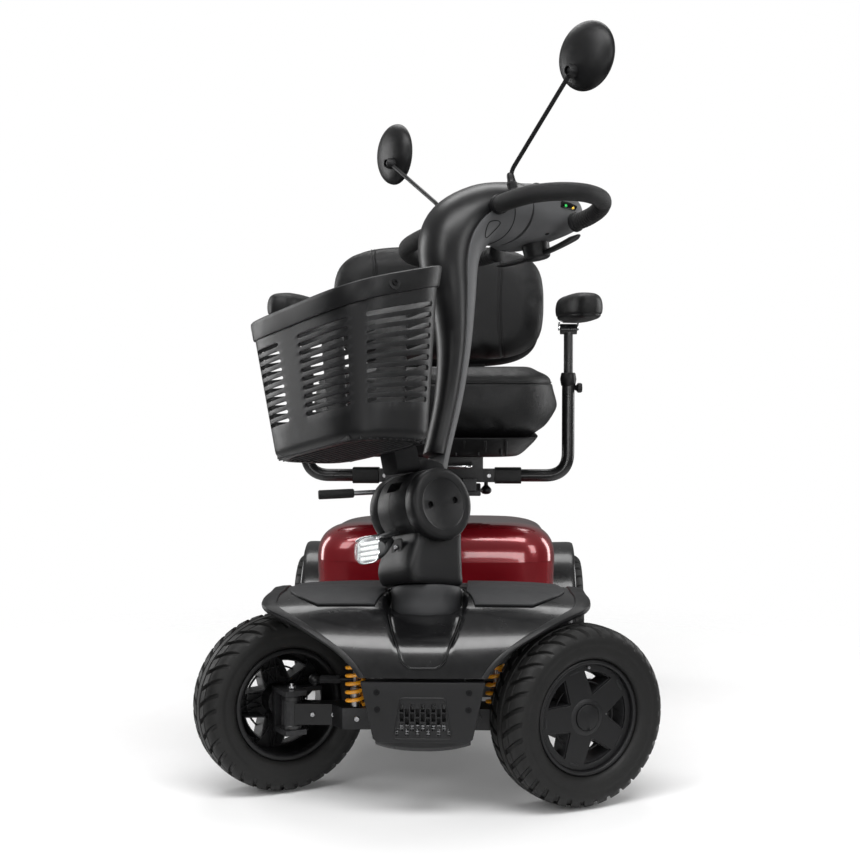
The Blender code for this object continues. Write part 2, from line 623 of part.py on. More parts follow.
KNOB = ((0.0, 0.015), (0.011, 0.015), (0.014, 0.011), (0.015, 0.0), (0.0, 0.0))
KEY = ((0.0, 0.012), (0.007, 0.012), (0.008, 0.010), (0.008, 0.0), (0.0, 0.0))
for name, profile, x, look in (("speed_knob", KNOB, 0.0, GREY), ("key_switch", KEY, 0.050, STEEL)):
    spot = console_top(x, 0.475, 0.0006)
    turn_axis = pivot(f"{name}_axis", tilt, spot)
    turned(name, profile, look, turn_axis, spot, TOP_UP, 18, False)

# ---------------------------------------------------------------- mirrors
MIRROR_BASE = Vector((0.118, 0.335, 1.136))
MIRROR_AT = Vector((0.318, 0.404, 1.351))
MIRROR_R = 0.0685
MIRROR_FACE = Vector((0.10, -1.0, 0.12)).normalized()     # the convex back looks forward
DISH = ((0.0, 0.024), (0.030, 0.0215), (0.054, 0.014), (0.066, 0.004), (MIRROR_R, -0.004),
        (0.066, -0.008), (0.0, -0.008))
for side_name, side in SIDES:
    flip = Matrix.Diagonal((side, 1.0, 1.0))
    base = flip @ MIRROR_BASE
    ball = flip @ (MIRROR_AT + Vector((-0.020, 0.0, -0.030))) + flip @ MIRROR_FACE * 0.030
    stalk_axis = pivot(f"stalk_axis_{side_name}", tilt, base)
    path = eased([base, base + Z * 0.040, ball + (base + Z * 0.04 - ball) * 0.06, ball], 0.018)
    wire(f"mirror_stalk_{side_name}", path, 0.0045, STEEL, stalk_axis, base)
    head_axis = pivot(f"mirror_ball_{side_name}", stalk_axis, ball)
    turned(f"mirror_head_{side_name}", DISH, SATIN, head_axis, flip @ MIRROR_AT,
           flip @ MIRROR_FACE, 24, False)

# ---------------------------------------------------------------- basket
# (centre Y, Z, half width, half depth) of the outer skin, rim to floor
BASKET_OUT = ((-0.042, 0.972, 0.204, 0.126), (-0.050, 0.938, 0.197, 0.120), (-0.094, 0.674, 0.158, 0.094))
BASKET_WALL = 0.004


def basket_ring(centre_y, z, half_a, half_b, slope, inset):
    """A rounded, flat-backed ring of the basket; slope raises its front."""
    ring = oval((0.0, centre_y, z), X, Y, half_a - inset, half_b - inset, 28, 4.0)
    return [p + Z * slope * (centre_y - p.y) for p in ring]


FLOOR_SLOPE = 0.16
RIM_SLOPE = -0.09
rings = [basket_ring(*BASKET_OUT[2], FLOOR_SLOPE, 0.0), basket_ring(*BASKET_OUT[1], RIM_SLOPE, 0.0),
         basket_ring(*BASKET_OUT[0], RIM_SLOPE, 0.0),
         basket_ring(*BASKET_OUT[0], RIM_SLOPE, BASKET_WALL),
         basket_ring(*BASKET_OUT[1], RIM_SLOPE, BASKET_WALL)]
y, z, a, b = BASKET_OUT[2]
rings.append(basket_ring(y, z + BASKET_WALL, a, b, FLOOR_SLOPE, BASKET_WALL))
basket_axis = pivot("basket_lift", tilt, (0.0, 0.05, 0.70))
basket = loft("basket", rings, SATIN, basket_axis, (0.0, 0.05, 0.70))

# ---------------------------------------------------------------- seat
swivel = pivot("swivel_axis", root, (0.0, SEAT_Y, POST_TOP))
box("seat_swivel_plate", (-0.105, SEAT_Y - 0.11, POST_TOP + FIT), (0.105, SEAT_Y + 0.11, 0.5425),
    STEEL, swivel, 0.002)
lever_at = Vector((-0.1070, SEAT_Y - 0.07, 0.5365))
release = pivot("swivel_lever_axis", swivel, lever_at)
grip = rod("swivel_lever", 0.0055, lever_at, lever_at + Vector((-0.150, -0.02, -0.006)), STEEL,
           release, 10)
combine(grip, rod("lever_grip", 0.0105, lever_at + Vector((-0.075, -0.010, -0.003)),
                  lever_at + Vector((-0.155, -0.0207, -0.0062)), None, release, 14))

slide = pivot("slide_axis", swivel, (0.0, SEAT_Y, 0.5425))
seat_frame = box("seat_frame", (-0.15, BAR_Y - 0.0155, BAR_Z - 0.0155),
                 (0.15, BAR_Y + 0.0155, BAR_Z + 0.0155), STEEL, slide)
SEAT_BARS = (
    ((-0.095, SEAT_Y - 0.12, 0.5430), (-0.065, BAR_Y + 0.10, 0.5700)),
    ((0.065, SEAT_Y - 0.12, 0.5430), (0.095, BAR_Y + 0.10, 0.5700)),
    ((-0.11, SEAT_Y - 0.10, 0.5650), (0.11, SEAT_Y + 0.08, 0.6195)),
    ((-0.110, BAR_Y + 0.08, 0.5460), (-0.080, 0.892, 0.5640)),
    ((0.080, BAR_Y + 0.08, 0.5460), (0.110, 0.892, 0.5640)),
    ((-0.108, 0.884, 0.5480), (-0.082, 0.904, 0.7875)),
    ((0.082, 0.884, 0.5480), (0.108, 0.904, 0.7875)),
)
for number, (low, high) in enumerate(SEAT_BARS):
    combine(seat_frame, box(f"seat_bar_{number}", low, high, None, slide))
for side_name, side in SIDES:
    combine(seat_frame, rod(f"arm_bore_{side_name}", ARM_TUBE_R + FIT,
                            (side * 0.045, BAR_Y, BAR_Z), (side * 0.17, BAR_Y, BAR_Z), None,
                            slide, 16), "DIFFERENCE")

PAN = ((0.6200, 0.190, 0.175), (0.640, 0.215, 0.195), (0.6640, 0.235, 0.208))
loft("seat_pan", [oval((0.0, 0.640, z), X, Y, a, b, 24, 5.0) for z, a, b in PAN], SATIN, slide,
     (0.0, 0.640, 0.62))
CUSHION = ((0.6645, 0.225, 0.195), (0.680, 0.258, 0.210), (0.720, 0.278, 0.222),
           (0.765, 0.280, 0.224), (0.795, 0.266, 0.214), (0.808, 0.240, 0.190))
loft("seat_cushion", [oval((0.0, 0.640, z), X, Y, a, b, 28, 4.0) for z, a, b in CUSHION], VINYL,
     slide, (0.0, 0.640, 0.72))

recline = pivot("back_hinge", slide, BACK_HINGE)
back_shell = loft(
    "backrest_shell",
    [oval((0.0, y, 0.970), X, Z, a, b, 24, 4.0) for y, a, b in (
        (0.8953, 0.240, 0.140), (0.905, 0.252, 0.150), (0.918, 0.235, 0.135))],
    SATIN, recline, BACK_HINGE)
for n, (low, high) in enumerate((((-0.115, 0.898, 0.795), (-0.075, 0.912, 0.84)),
                                 ((0.075, 0.898, 0.795), (0.115, 0.912, 0.84)))):
    combine(back_shell, box(f"back_strap_{n}", low, high, None, recline))
combine(back_shell, rod("back_barrel", 0.012, BACK_HINGE - X * 0.125, BACK_HINGE + X * 0.125,
                        None, recline, 16))
BACK = ((0.828, 0.230, 0.118), (0.838, 0.262, 0.142), (0.860, 0.275, 0.152), (0.882, 0.272, 0.150),
        (0.8950, 0.250, 0.135))
loft("backrest_cushion", [oval((0.0, y, 0.976), X, Z, a, b, 28, 4.0) for y, a, b in BACK], VINYL,
     recline, (0.0, 0.86, 0.976))


def bored_tube(name, path, outer, inner, depth, look, parent, at, count=14):
    """A bent round tube, open at its last end to the given depth."""
    path = [Vector(p) for p in path]
    rings = []
    normal = Y.copy()
    for i, p in enumerate(path):
        ahead = (path[min(i + 1, len(path) - 1)] - path[max(i - 1, 0)]).normalized()
        rings.append(oval(p, normal, ahead.cross(normal), outer, outer, count))
    ahead = (path[-1] - path[-2]).normalized()
    for back in (0.0, depth):
        rings.append(oval(path[-1] - ahead * back, normal, ahead.cross(normal), inner, inner, count))
    return loft(name, rings, look, parent, at)


ARM_TOP = 0.805
for side_name, side in SIDES:
    # the tube's inner end slides in the receiver
    width_axis = pivot(f"arm_width_{side_name}", slide, (side * 0.15, BAR_Y, BAR_Z))
    path = eased([(side * 0.080, BAR_Y, BAR_Z), (side * ARM_X, BAR_Y, BAR_Z),
                  (side * ARM_X, BAR_Y, ARM_TOP)], 0.055, 6)
    bored_tube(f"armrest_tube_{side_name}", path, ARM_TUBE_R, ARM_POST_R + FIT, 0.13, STEEL,
               width_axis, (side * 0.15, BAR_Y, BAR_Z))
    height_axis = pivot(f"arm_height_{side_name}", width_axis, (side * ARM_X, BAR_Y, ARM_TOP))
    post = rod(f"armrest_post_{side_name}", ARM_POST_R, (side * ARM_X, BAR_Y, ARM_TOP - 0.065),
               (side * ARM_X, BAR_Y, 0.905), STEEL, height_axis, 14)
    pin = Vector((side * ARM_PIN.x, BAR_Y, ARM_PIN.z))
    combine(post, rod(f"arm_pin_{side_name}", 0.0125, pin - X * 0.020, pin + X * 0.020, None,
                      height_axis, 16))
    flip_axis = pivot(f"arm_flip_{side_name}", height_axis, pin)
    # the pad toes in toward the back
    toe = Matrix.Rotation(side * math.radians(6.0), 3, "Z")
    rings = []
    for z, a, b in ((0.9255, 0.027, 0.132), (0.932, 0.034, 0.140), (0.955, 0.038, 0.145),
                    (0.970, 0.035, 0.142), (0.978, 0.025, 0.130)):
        ring = oval((0.0, 0.0, z), X, Y, a, b, 20, 3.0)
        rings.append([toe @ p + Vector((side * 0.326, BAR_Y - 0.115, 0.0)) for p in ring])
    loft(f"armrest_pad_{side_name}", rings, VINYL, flip_axis, pin)
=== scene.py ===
"""Visible model of the four-wheeled mobility scooter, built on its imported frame.

Shapes are written like the frame's own source: metres, front axle at Y = 0, ground at
Z = 0, steering straight ahead. A place is a matrix that brings such a shape to where it
stands at rest, with the name of the body that it rides on.
"""
import bmesh
import bpy
import math
from mathutils import Matrix, Vector


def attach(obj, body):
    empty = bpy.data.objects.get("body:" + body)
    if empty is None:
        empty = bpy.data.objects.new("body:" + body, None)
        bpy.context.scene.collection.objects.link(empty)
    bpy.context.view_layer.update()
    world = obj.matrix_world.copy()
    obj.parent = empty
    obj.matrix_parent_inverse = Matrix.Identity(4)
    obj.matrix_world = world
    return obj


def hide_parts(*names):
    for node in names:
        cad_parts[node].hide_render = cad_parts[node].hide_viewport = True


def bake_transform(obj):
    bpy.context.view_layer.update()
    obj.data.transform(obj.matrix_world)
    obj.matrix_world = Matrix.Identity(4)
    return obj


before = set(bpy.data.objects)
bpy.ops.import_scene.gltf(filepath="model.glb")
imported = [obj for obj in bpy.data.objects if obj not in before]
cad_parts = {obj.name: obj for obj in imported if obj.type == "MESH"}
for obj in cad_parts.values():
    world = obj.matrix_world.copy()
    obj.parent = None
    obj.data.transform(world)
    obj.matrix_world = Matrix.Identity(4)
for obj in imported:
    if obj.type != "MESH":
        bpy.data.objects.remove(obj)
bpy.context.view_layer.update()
scene = bpy.context.scene

# ---------------------------------------------------------------- places
X, Y, Z = Vector((1, 0, 0)), Vector((0, 1, 0)), Vector((0, 0, 1))
SIDES = (("left", 1.0), ("right", -1.0))
WHEEL_R = 0.17
WHEELBASE = 1.0
KINGPIN_X = 0.257
WHEEL_OUT = 0.0525
RAKE = math.radians(14.0)
TILLER_LOCK = 51.0
WHEEL_LOCK = 60.0
STEER_FOOT = Vector((0.0, 0.03, 0.42))
STEER_AXIS = Vector((0.0, math.sin(RAKE), math.cos(RAKE)))
FORE = Vector((0.0, -math.cos(RAKE), math.sin(RAKE)))
SHIFT = Matrix.Translation((0.0, -0.52, 0.0))


def about(point, axis, degrees):
    """A turn about an axis through a point."""
    turn = Matrix.Rotation(math.radians(degrees), 4, axis)
    return Matrix.Translation(point) @ turn @ Matrix.Translation(-Vector(point))


STEERED = SHIFT @ about(STEER_FOOT, STEER_AXIS, -TILLER_LOCK)
BASE = (SHIFT, "chassis")
NECK = (STEERED, "tiller_base")
TILLER = (STEERED, "tiller")
SEAT = (SHIFT, "seat")
KNUCKLE = {}
ROD = {}
ROD_END = {}
for side_name, side in SIDES:
    king = Vector((side * KINGPIN_X, 0.0, WHEEL_R))
    rod_end = Vector((side * (KINGPIN_X + 0.016), 0.055, 0.213))
    turned_out = SHIFT @ about(king, Z, -WHEEL_LOCK)
    KNUCKLE[side_name] = (turned_out, f"knuckle_body_{side_name}")
    ROD[side_name] = (turned_out @ about(rod_end, Z, WHEEL_LOCK), f"rod_{side_name}")
    ROD_END[side_name] = rod_end


# ---------------------------------------------------------------- materials
def look(name, colour, rough, metal=0.0, coat=0.0, tint=0.12, swing=0.05, bumps=(), wear=0.0,
         worn=(0.1, 0.1, 0.105), glow=0.0, alpha=1.0, sheen=0.0, shine=0.5):
    """A Principled material with mottled colour, uneven gloss, fine relief and worn edges.

    bumps holds (pattern, scale, depth in metres); the patterns are grain, leather and ridge.
    """
    made = bpy.data.materials.new(name)
    made.use_nodes = True
    tree = made.node_tree
    shader = tree.nodes["Principled BSDF"]

    def add(kind, values=(), **settings):
        fresh = tree.nodes.new("ShaderNode" + kind)
        for key, value in settings.items():
            setattr(fresh, key, value)
        for key, value in dict(values).items():
            if isinstance(value, bpy.types.NodeSocket):
                tree.links.new(value, fresh.inputs[key])
            else:
                fresh.inputs[key].default_value = value
        return fresh

    def shade_of(amount):
        return (*(min(c * amount, 1.0) for c in colour), 1.0)

    place = add("TexCoord").outputs["Object"]
    cloudy = add("TexNoise", {"Vector": place, "Scale": 11.0, "Detail": 5.0})
    blend = add("Mix", {0: cloudy.outputs["Fac"], 6: shade_of(1 - tint), 7: shade_of(1 + tint)},
                data_type="RGBA").outputs[2]
    if wear:
        edge = add("MapRange", {"Value": add("NewGeometry").outputs["Pointiness"], "From Min": 0.53,
                                "From Max": 0.62, "To Max": wear})
        chips = add("TexNoise", {"Vector": place, "Scale": 160.0, "Detail": 3.0})
        share = add("Math", {0: edge.outputs[0], 1: chips.outputs["Fac"]}, operation="MULTIPLY")
        blend = add("Mix", {0: share.outputs[0], 6: blend, 7: (*worn, 1.0)},
                    data_type="RGBA").outputs[2]
    tree.links.new(blend, shader.inputs["Base Color"])

    patchy = add("TexNoise", {"Vector": place, "Scale": 45.0, "Detail": 6.0, "Roughness": 0.65})
    gloss = add("MapRange", {"Value": patchy.outputs["Fac"], "From Min": 0.3, "From Max": 0.7,
                             "To Min": max(rough - swing, 0.02), "To Max": min(rough + swing, 1.0)})
    tree.links.new(gloss.outputs[0], shader.inputs["Roughness"])

    normal = None
    for pattern, scale, depth in bumps:
        if pattern == "leather":
            relief = add("TexVoronoi", {"Vector": place, "Scale": scale, "Randomness": 0.9},
                         feature="DISTANCE_TO_EDGE")
            height = add("MapRange", {"Value": relief.outputs["Distance"], "From Max": 0.22}).outputs[0]
        elif pattern == "ridge":
            relief = add("TexNoise", {"Vector": place, "Scale": scale, "Detail": 2.0,
                                      "Distortion": 1.5})
            height = relief.outputs["Fac"]
        else:
            relief = add("TexNoise", {"Vector": place, "Scale": scale, "Detail": 4.0})
            height = relief.outputs["Fac"]
        values = {"Height": height, "Distance": depth, "Strength": 0.8}
        if normal is not None:
            values["Normal"] = normal
        normal = add("Bump", values).outputs[0]
    if normal is not None:
        tree.links.new(normal, shader.inputs["Normal"])

    shader.inputs["Metallic"].default_value = metal
    shader.inputs["Specular IOR Level"].default_value = shine
    shader.inputs["Coat Weight"].default_value = coat
    shader.inputs["Coat Roughness"].default_value = 0.06
    shader.inputs["Sheen Weight"].default_value = sheen
    shader.inputs["Alpha"].default_value = alpha
    if glow:
        shader.inputs["Emission Color"].default_value = (*colour, 1.0)
        shader.inputs["Emission Strength"].default_value = glow
    return made


SATIN = look("satin_black_plastic", (0.0055, 0.0055, 0.006), 0.38, shine=0.32, wear=0.2,
             bumps=(("leather", 900.0, 0.00006), ("grain", 2200.0, 0.00004)))
GREY = look("dark_grey_plastic", (0.026, 0.0265, 0.028), 0.48, shine=0.36, wear=0.2,
            bumps=(("leather", 760.0, 0.00008), ("grain", 2200.0, 0.00005)))
# a paler grey than the other plastics: partly the lighter plastic of the console and the column's back,
# partly painted light that stands for the white floor lighting them from below
PALER_GREY_AND_PAINTED_FLOOR_LIGHT = look("grey_plastic_and_painted_floor_light", (0.09, 0.091, 0.094), 0.5, shine=0.4, wear=0.1,
                 bumps=(("leather", 760.0, 0.00008), ("grain", 2200.0, 0.00005)))
SEMI = look("satin_shell_plastic", (0.0045, 0.0045, 0.005), 0.36, shine=0.42, swing=0.03,
            bumps=(("grain", 14.0, 0.00008),))
GLOSS = look("gloss_black_plastic", (0.004, 0.004, 0.0044), 0.24, coat=0.25, swing=0.04,
             bumps=(("grain", 14.0, 0.0001),))
RED = look("candy_red_paint", (0.235, 0.006, 0.012), 0.22, metal=0.35, coat=1.0, tint=0.18,
           swing=0.03, bumps=(("grain", 16.0, 0.00008),))
POWDER = look("black_powder_coat", (0.0065, 0.0065, 0.007), 0.34, shine=0.34, wear=0.4,
              bumps=(("grain", 420.0, 0.0001),))
TUBE = look("gloss_black_tube", (0.006, 0.006, 0.0065), 0.3, coat=0.12, wear=0.3,
            bumps=(("grain", 300.0, 0.00005),))
RUBBER = look("tyre_rubber", (0.0075, 0.0074, 0.0072), 0.55, tint=0.3, swing=0.1, shine=0.3,
              wear=0.5, worn=(0.045, 0.044, 0.042),
              bumps=(("grain", 90.0, 0.00015), ("grain", 1400.0, 0.00012)))
MAT = look("rubber_mat", (0.018, 0.018, 0.019), 0.7, tint=0.25, bumps=(("grain", 900.0, 0.0002),))
VINYL = look("black_vinyl", (0.005, 0.005, 0.0054), 0.4, swing=0.07, shine=0.34, wear=0.12,
             bumps=(("leather", 420.0, 0.00022), ("ridge", 60.0, 0.0003), ("grain", 1500.0, 0.00005)))
THREAD = look("seam_thread", (0.022, 0.022, 0.023), 0.75, bumps=(("grain", 3000.0, 0.0001),))
FOAM = look("black_grip_foam", (0.0075, 0.0075, 0.008), 0.58, sheen=0.04, shine=0.32,
            bumps=(("leather", 1100.0, 0.00022), ("grain", 700.0, 0.00012)))
CHROME = look("bright_chrome", (0.78, 0.79, 0.8), 0.11, metal=1.0, tint=0.05, swing=0.04,
              bumps=(("grain", 60.0, 0.00004),))
ZINC = look("zinc_bolts", (0.42, 0.42, 0.43), 0.32, metal=1.0, tint=0.2, swing=0.1,
            bumps=(("grain", 500.0, 0.00005),))
ORANGE = look("orange_spring_coat", (0.86, 0.36, 0.015), 0.3, coat=0.5, tint=0.1,
              bumps=(("grain", 300.0, 0.00006),))
LENS = look("clear_lamp_lens", (0.8, 0.83, 0.85), 0.06, alpha=0.22, coat=0.6, tint=0.02, swing=0.02)
LED = look("lamp_led", (0.92, 0.94, 0.92), 0.2, glow=0.55, tint=0.05)
GLASS = look("mirror_glass", (0.86, 0.88, 0.9), 0.03, metal=1.0, tint=0.02, swing=0.01)
TAIL = look("tail_lamp_lens", (0.42, 0.008, 0.01), 0.1, coat=1.0, bumps=(("leather", 260.0, 0.0004),))
SHADE = look("deep_black_liner", (0.004, 0.004, 0.0045), 0.72, shine=0.2,
             bumps=(("grain", 300.0, 0.0002),))
GREEN_LED = look("green_led", (0.03, 0.55, 0.1), 0.25, glow=0.5)
AMBER_LED = look("amber_led", (0.85, 0.55, 0.05), 0.25, glow=0.5)
RED_LED = look("red_led", (0.6, 0.03, 0.03), 0.25, glow=0.3)


# ---------------------------------------------------------------- shape tools
def flow(rows, steps, closed=False):
    """Smooth points through the given ones, which may have any number of parts."""
    rows = [tuple(map(float, row)) for row in rows]
    count = len(rows)

    def gap(p, q):
        return max(math.dist(p, q), 1e-6)

    def slope(i):
        before, here, after = rows[i - 1], rows[i], rows[(i + 1) % count]
        if not closed and i == 0:
            return tuple((b - a) / gap(here, after) for a, b in zip(here, after))
        if not closed and i == count - 1:
            return tuple((b - a) / gap(before, here) for a, b in zip(before, here))
        d0, d1 = gap(before, here), gap(here, after)
        return tuple(((h - b) / d0 * d1 + (a - h) / d1 * d0) / (d0 + d1)
                     for b, h, a in zip(before, here, after))

    out = []
    for i in range(count if closed else count - 1):
        j = (i + 1) % count
        p, q, m, n, d = rows[i], rows[j], slope(i), slope(j), gap(rows[i], rows[j])
        for k in range(steps):
            t = k / steps
            h0, h1 = 2 * t ** 3 - 3 * t ** 2 + 1, t ** 3 - 2 * t ** 2 + t
            h2, h3 = 3 * t ** 2 - 2 * t ** 3, t ** 3 - t ** 2
            out.append(tuple(h0 * a + h1 * d * u + h2 * b + h3 * d * v
                             for a, b, u, v in zip(p, q, m, n)))
    if not closed:
        out.append(rows[-1])
    return out


def rounded(corners, reach, steps=5, closed=False):
    """Points through corners, each rounded over the given reach."""
    corners = [Vector(c) for c in corners]
    count = len(corners)
    path = [] if closed else [corners[0]]
    for i in range(0 if closed else 1, count if closed else count - 1):
        before, here, after = corners[i - 1], corners[i], corners[(i + 1) % count]
        cut = min(reach, (before - here).length * 0.49, (after - here).length * 0.49)
        a = here + (before - here).normalized() * cut
        b = here + (after - here).normalized() * cut
        for k in range(steps + 1):
            t = k / steps
            path.append(a * (1 - t) ** 2 + here * 2 * t * (1 - t) + b * t ** 2)
    if not closed:
        path.append(corners[-1])
    return path


def oval(centre, across, along, half_a, half_b, count=48, power=2.0, start=0.0, sweep=math.tau):
    """Points round a superellipse, or part of one, spanned by two directions."""
    centre, across, along = Vector(centre), Vector(across), Vector(along)
    whole = abs(sweep - math.tau) < 1e-6
    ring = []
    for i in range(count):
        a = start + sweep * i / (count if whole else count - 1)
        c, s = math.cos(a), math.sin(a)
        u = math.copysign(abs(c) ** (2.0 / power), c) * half_a
        v = math.copysign(abs(s) ** (2.0 / power), s) * half_b
        ring.append(centre + across * u + along * v)
    return ring


def mesh_of(points, faces):
    """A mesh from points and faces."""
    data = bpy.data.meshes.new("shape")
    data.from_pydata([tuple(p) for p in points], [], faces)
    return data


def skin(rings, caps=True, closed=True, looped=False):
    """A mesh over rows of equally many points; looped joins the last row to the first."""
    count = len(rings[0])
    points = [p for ring in rings for p in ring]
    faces = []
    pairs = [(r, r + 1) for r in range(len(rings) - 1)]
    if looped:
        pairs.append((len(rings) - 1, 0))
    for low, high in pairs:
        for i in range(count if closed else count - 1):
            j = (i + 1) % count
            faces.append((low * count + i, low * count + j, high * count + j, high * count + i))
    if caps and not looped:
        faces.append(tuple(reversed(range(count))))
        faces.append(tuple(range((len(rings) - 1) * count, len(rings) * count)))
    return mesh_of(points, faces)


def turned(profile, at=(0, 0, 0), axis=Z, count=48):
    """A turned shape: profile is (radius, height) pairs; a radius of 0 closes an end."""
    turn = Vector(axis).to_track_quat("Z", "Y").to_matrix()
    points, rows, faces = [], [], []
    for radius, height in profile:
        if radius < 1e-7:
            rows.append([len(points)] * count)
            points.append(Vector(at) + turn @ Vector((0, 0, height)))
            continue
        rows.append(list(range(len(points), len(points) + count)))
        for i in range(count):
            a = math.tau * i / count
            spot = Vector((radius * math.cos(a), radius * math.sin(a), height))
            points.append(Vector(at) + turn @ spot)
    for low, high in zip(rows, rows[1:]):
        for i in range(count):
            j = (i + 1) % count
            face = list(dict.fromkeys((low[i], low[j], high[j], high[i])))
            if len(face) > 2:
                faces.append(face)
    return mesh_of(points, faces)


def tube(path, radius, count=20, looped=False, flat=1.0, up=None):
    """A round bar along a path; radius is a number or one for each point."""
    path = [Vector(p) for p in path]
    last = len(path) - 1
    radii = radius if isinstance(radius, (list, tuple)) else [radius] * len(path)
    ahead = [(path[(i + 1) % len(path)] - path[i - 1]) if looped or 0 < i < last
             else (path[1] - path[0] if i == 0 else path[last] - path[last - 1])
             for i in range(len(path))]
    side = Vector(up) if up else ahead[0].orthogonal()
    rings = []
    for p, r, way in zip(path, radii, ahead):
        way = way.normalized()
        side = (side - way * side.dot(way)).normalized()
        rings.append(oval(p, side, way.cross(side), r, r * flat, count))
    return skin(rings, looped=looped)


def written(bm):
    """The mesh that a bmesh holds."""
    data = bpy.data.meshes.new("shape")
    bm.to_mesh(data)
    bm.free()
    return data


def block(low, high, bevel=0.001, steps=2):
    """A box between two corners with rounded edges."""
    low, high = Vector(low), Vector(high)
    bm = bmesh.new()
    bmesh.ops.create_cube(bm, size=1.0)
    bmesh.ops.scale(bm, vec=high - low, verts=bm.verts)
    bmesh.ops.translate(bm, vec=(low + high) / 2, verts=bm.verts)
    return softened(bm, bevel, steps)


def softened(bm, bevel, steps=2, limit=40.0):
    """A finished mesh with the sharp edges of a bmesh rounded."""
    if bevel:
        bmesh.ops.recalc_face_normals(bm, faces=bm.faces)
        sharp = [e for e in bm.edges if len(e.link_faces) == 2
                 and e.calc_face_angle(0.0) > math.radians(limit)]
        bmesh.ops.bevel(bm, geom=sharp, offset=bevel, segments=steps, profile=0.5,
                        affect="EDGES", clamp_overlap=True)
    return written(bm)


def eased(data, bevel, steps=2, limit=40.0):
    """The same mesh with its sharp edges rounded."""
    bm = bmesh.new()
    bm.from_mesh(data)
    return softened(bm, bevel, steps, limit)


def outline_of(corners, reach, steps=5):
    """A closed flat outline through (x, y) corners, each rounded."""
    return [(p.x, p.y) for p in rounded([(x, y, 0) for x, y in corners], reach, steps, True)]


def slab(outline, thick, bevel=0.0008, turn=Matrix()):
    """A flat outline in its own XY plane, with thickness both ways, then turned into place."""
    half = thick / 2
    rings = [[Vector((p[0], p[1], h)) for p in outline] for h in (-half, half)]
    data = eased(skin(rings), bevel)
    data.transform(turn)
    return data


def holed(outline, holes, thick, bevel=0.0008):
    """A flat plate in its own XY plane with holes through it."""
    curve = bpy.data.curves.new("outline", "CURVE")
    curve.dimensions = "2D"
    curve.fill_mode = "BOTH"
    curve.extrude = thick / 2 - bevel
    curve.bevel_depth = bevel
    curve.bevel_resolution = 1
    curve.offset = -bevel
    for loop in (outline, *holes):
        spline = curve.splines.new("POLY")
        spline.points.add(len(loop) - 1)
        for point, p in zip(spline.points, loop):
            point.co = (p[0], p[1], 0.0, 1.0)
        spline.use_cyclic_u = True
    return baked(curve)


def final_mesh(ob):
    """The mesh that an object gives after its modifiers."""
    graph = bpy.context.evaluated_depsgraph_get()
    return bpy.data.meshes.new_from_object(ob.evaluated_get(graph))


def baked(data, *changes):
    """The mesh that a curve or mesh gives after modifiers, each a type and its settings."""
    ob = bpy.data.objects.new("work", data)
    scene.collection.objects.link(ob)
    for kind, settings in changes:
        mod = ob.modifiers.new(kind.lower(), kind)
        for key, value in settings.items():
            setattr(mod, key, value)
    made = final_mesh(ob)
    bpy.data.objects.remove(ob)
    return made


def cut(data, *tools):
    """The mesh with other closed meshes cut out of it."""
    tool = bpy.data.objects.new("tool", merged(*tools))
    scene.collection.objects.link(tool)
    made = baked(data, ("BOOLEAN", {"operation": "DIFFERENCE", "solver": "EXACT", "object": tool}))
    bpy.data.objects.remove(tool)
    return made


def merged(*parts):
    """One mesh from several."""
    bm = bmesh.new()
    for part in parts:
        bm.from_mesh(part)
    bmesh.ops.recalc_face_normals(bm, faces=bm.faces)
    return written(bm)


def moved(data, matrix):
    """A copy of a mesh, moved; a mirrored copy keeps its faces outward."""
    data = data.copy()
    data.transform(matrix)
    if matrix.determinant() < 0:
        data.flip_normals()
    return data


def pin(radius, low, high, at, axis, count=24):
    """A plain round pin, or the hole for one, between two heights on its axis."""
    return turned([(0.0, low), (radius, low), (radius, high), (0.0, high)], at, axis, count)


def screw(at, axis, radius=0.005, height=0.003, socket=True):
    """A round screw head with a hexagon socket, standing on a point."""
    profile = [(radius * 0.98, -0.0006), (radius, height * 0.55), (radius * 0.86, height)]
    if socket:
        profile += [(radius * 0.5, height), (radius * 0.46, height * 0.35), (0.0, height * 0.35)]
    else:
        profile += [(radius * 0.45, height * 1.12), (0.0, height * 1.16)]
    return turned(profile, at, axis, 24)


def nut(at, axis, radius=0.008, height=0.006):
    """A hexagon nut with a stud end."""
    body = eased(turned([(0.0, 0.0), (radius, 0.0), (radius, height), (0.0, height)], at, axis, 6),
                 radius * 0.08)
    stud = turned([(radius * 0.5, height * 0.9), (radius * 0.5, height * 1.5),
                   (radius * 0.4, height * 1.7), (0.0, height * 1.7)], at, axis, 16)
    return merged(body, stud)


def add_piece(name, data, finish, place, slot, whole=False, crease=38.0):
    """Puts a shape into the scene as a piece that rides on its body; given a pair of bodies, it is only
    fixed where it stands and does not bend.

    slot is the node that it belongs to, used only to hide that node when whole says that the piece
    stands for it.
    """
    matrix, body = place
    data.transform(matrix)
    bm = bmesh.new()
    bm.from_mesh(data)
    bmesh.ops.recalc_face_normals(bm, faces=bm.faces)
    for face in bm.faces:
        face.smooth = True
    for edge in bm.edges:
        edge.smooth = len(edge.link_faces) == 2 and edge.calc_face_angle(0.0) < math.radians(crease)
    bm.to_mesh(data)
    bm.free()
    data.materials.clear()
    data.materials.append(finish)
    data.name = name
    piece = bpy.data.objects.new(name, data)
    scene.collection.objects.link(piece)
    if isinstance(body, tuple):
        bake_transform(piece)
    else:
        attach(piece, body)
    if whole:
        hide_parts(slot)
    return piece


# ---------------------------------------------------------------- camera, floor and light
CAMERA_AT = (0.098, -3.318, 0.81)
CAMERA_LENS = 61.95
CAMERA_DOWN, CAMERA_LEFT = 2.28, 1.85
camera = bpy.data.objects.new("camera", bpy.data.cameras.new("camera"))
camera.data.sensor_width = 36.0
camera.data.lens = CAMERA_LENS
camera.location = CAMERA_AT
camera.rotation_euler = (math.radians(90.0 - CAMERA_DOWN), 0.0, math.radians(CAMERA_LEFT))
camera.data.clip_end = 60.0
scene.collection.objects.link(camera)
scene.camera = camera


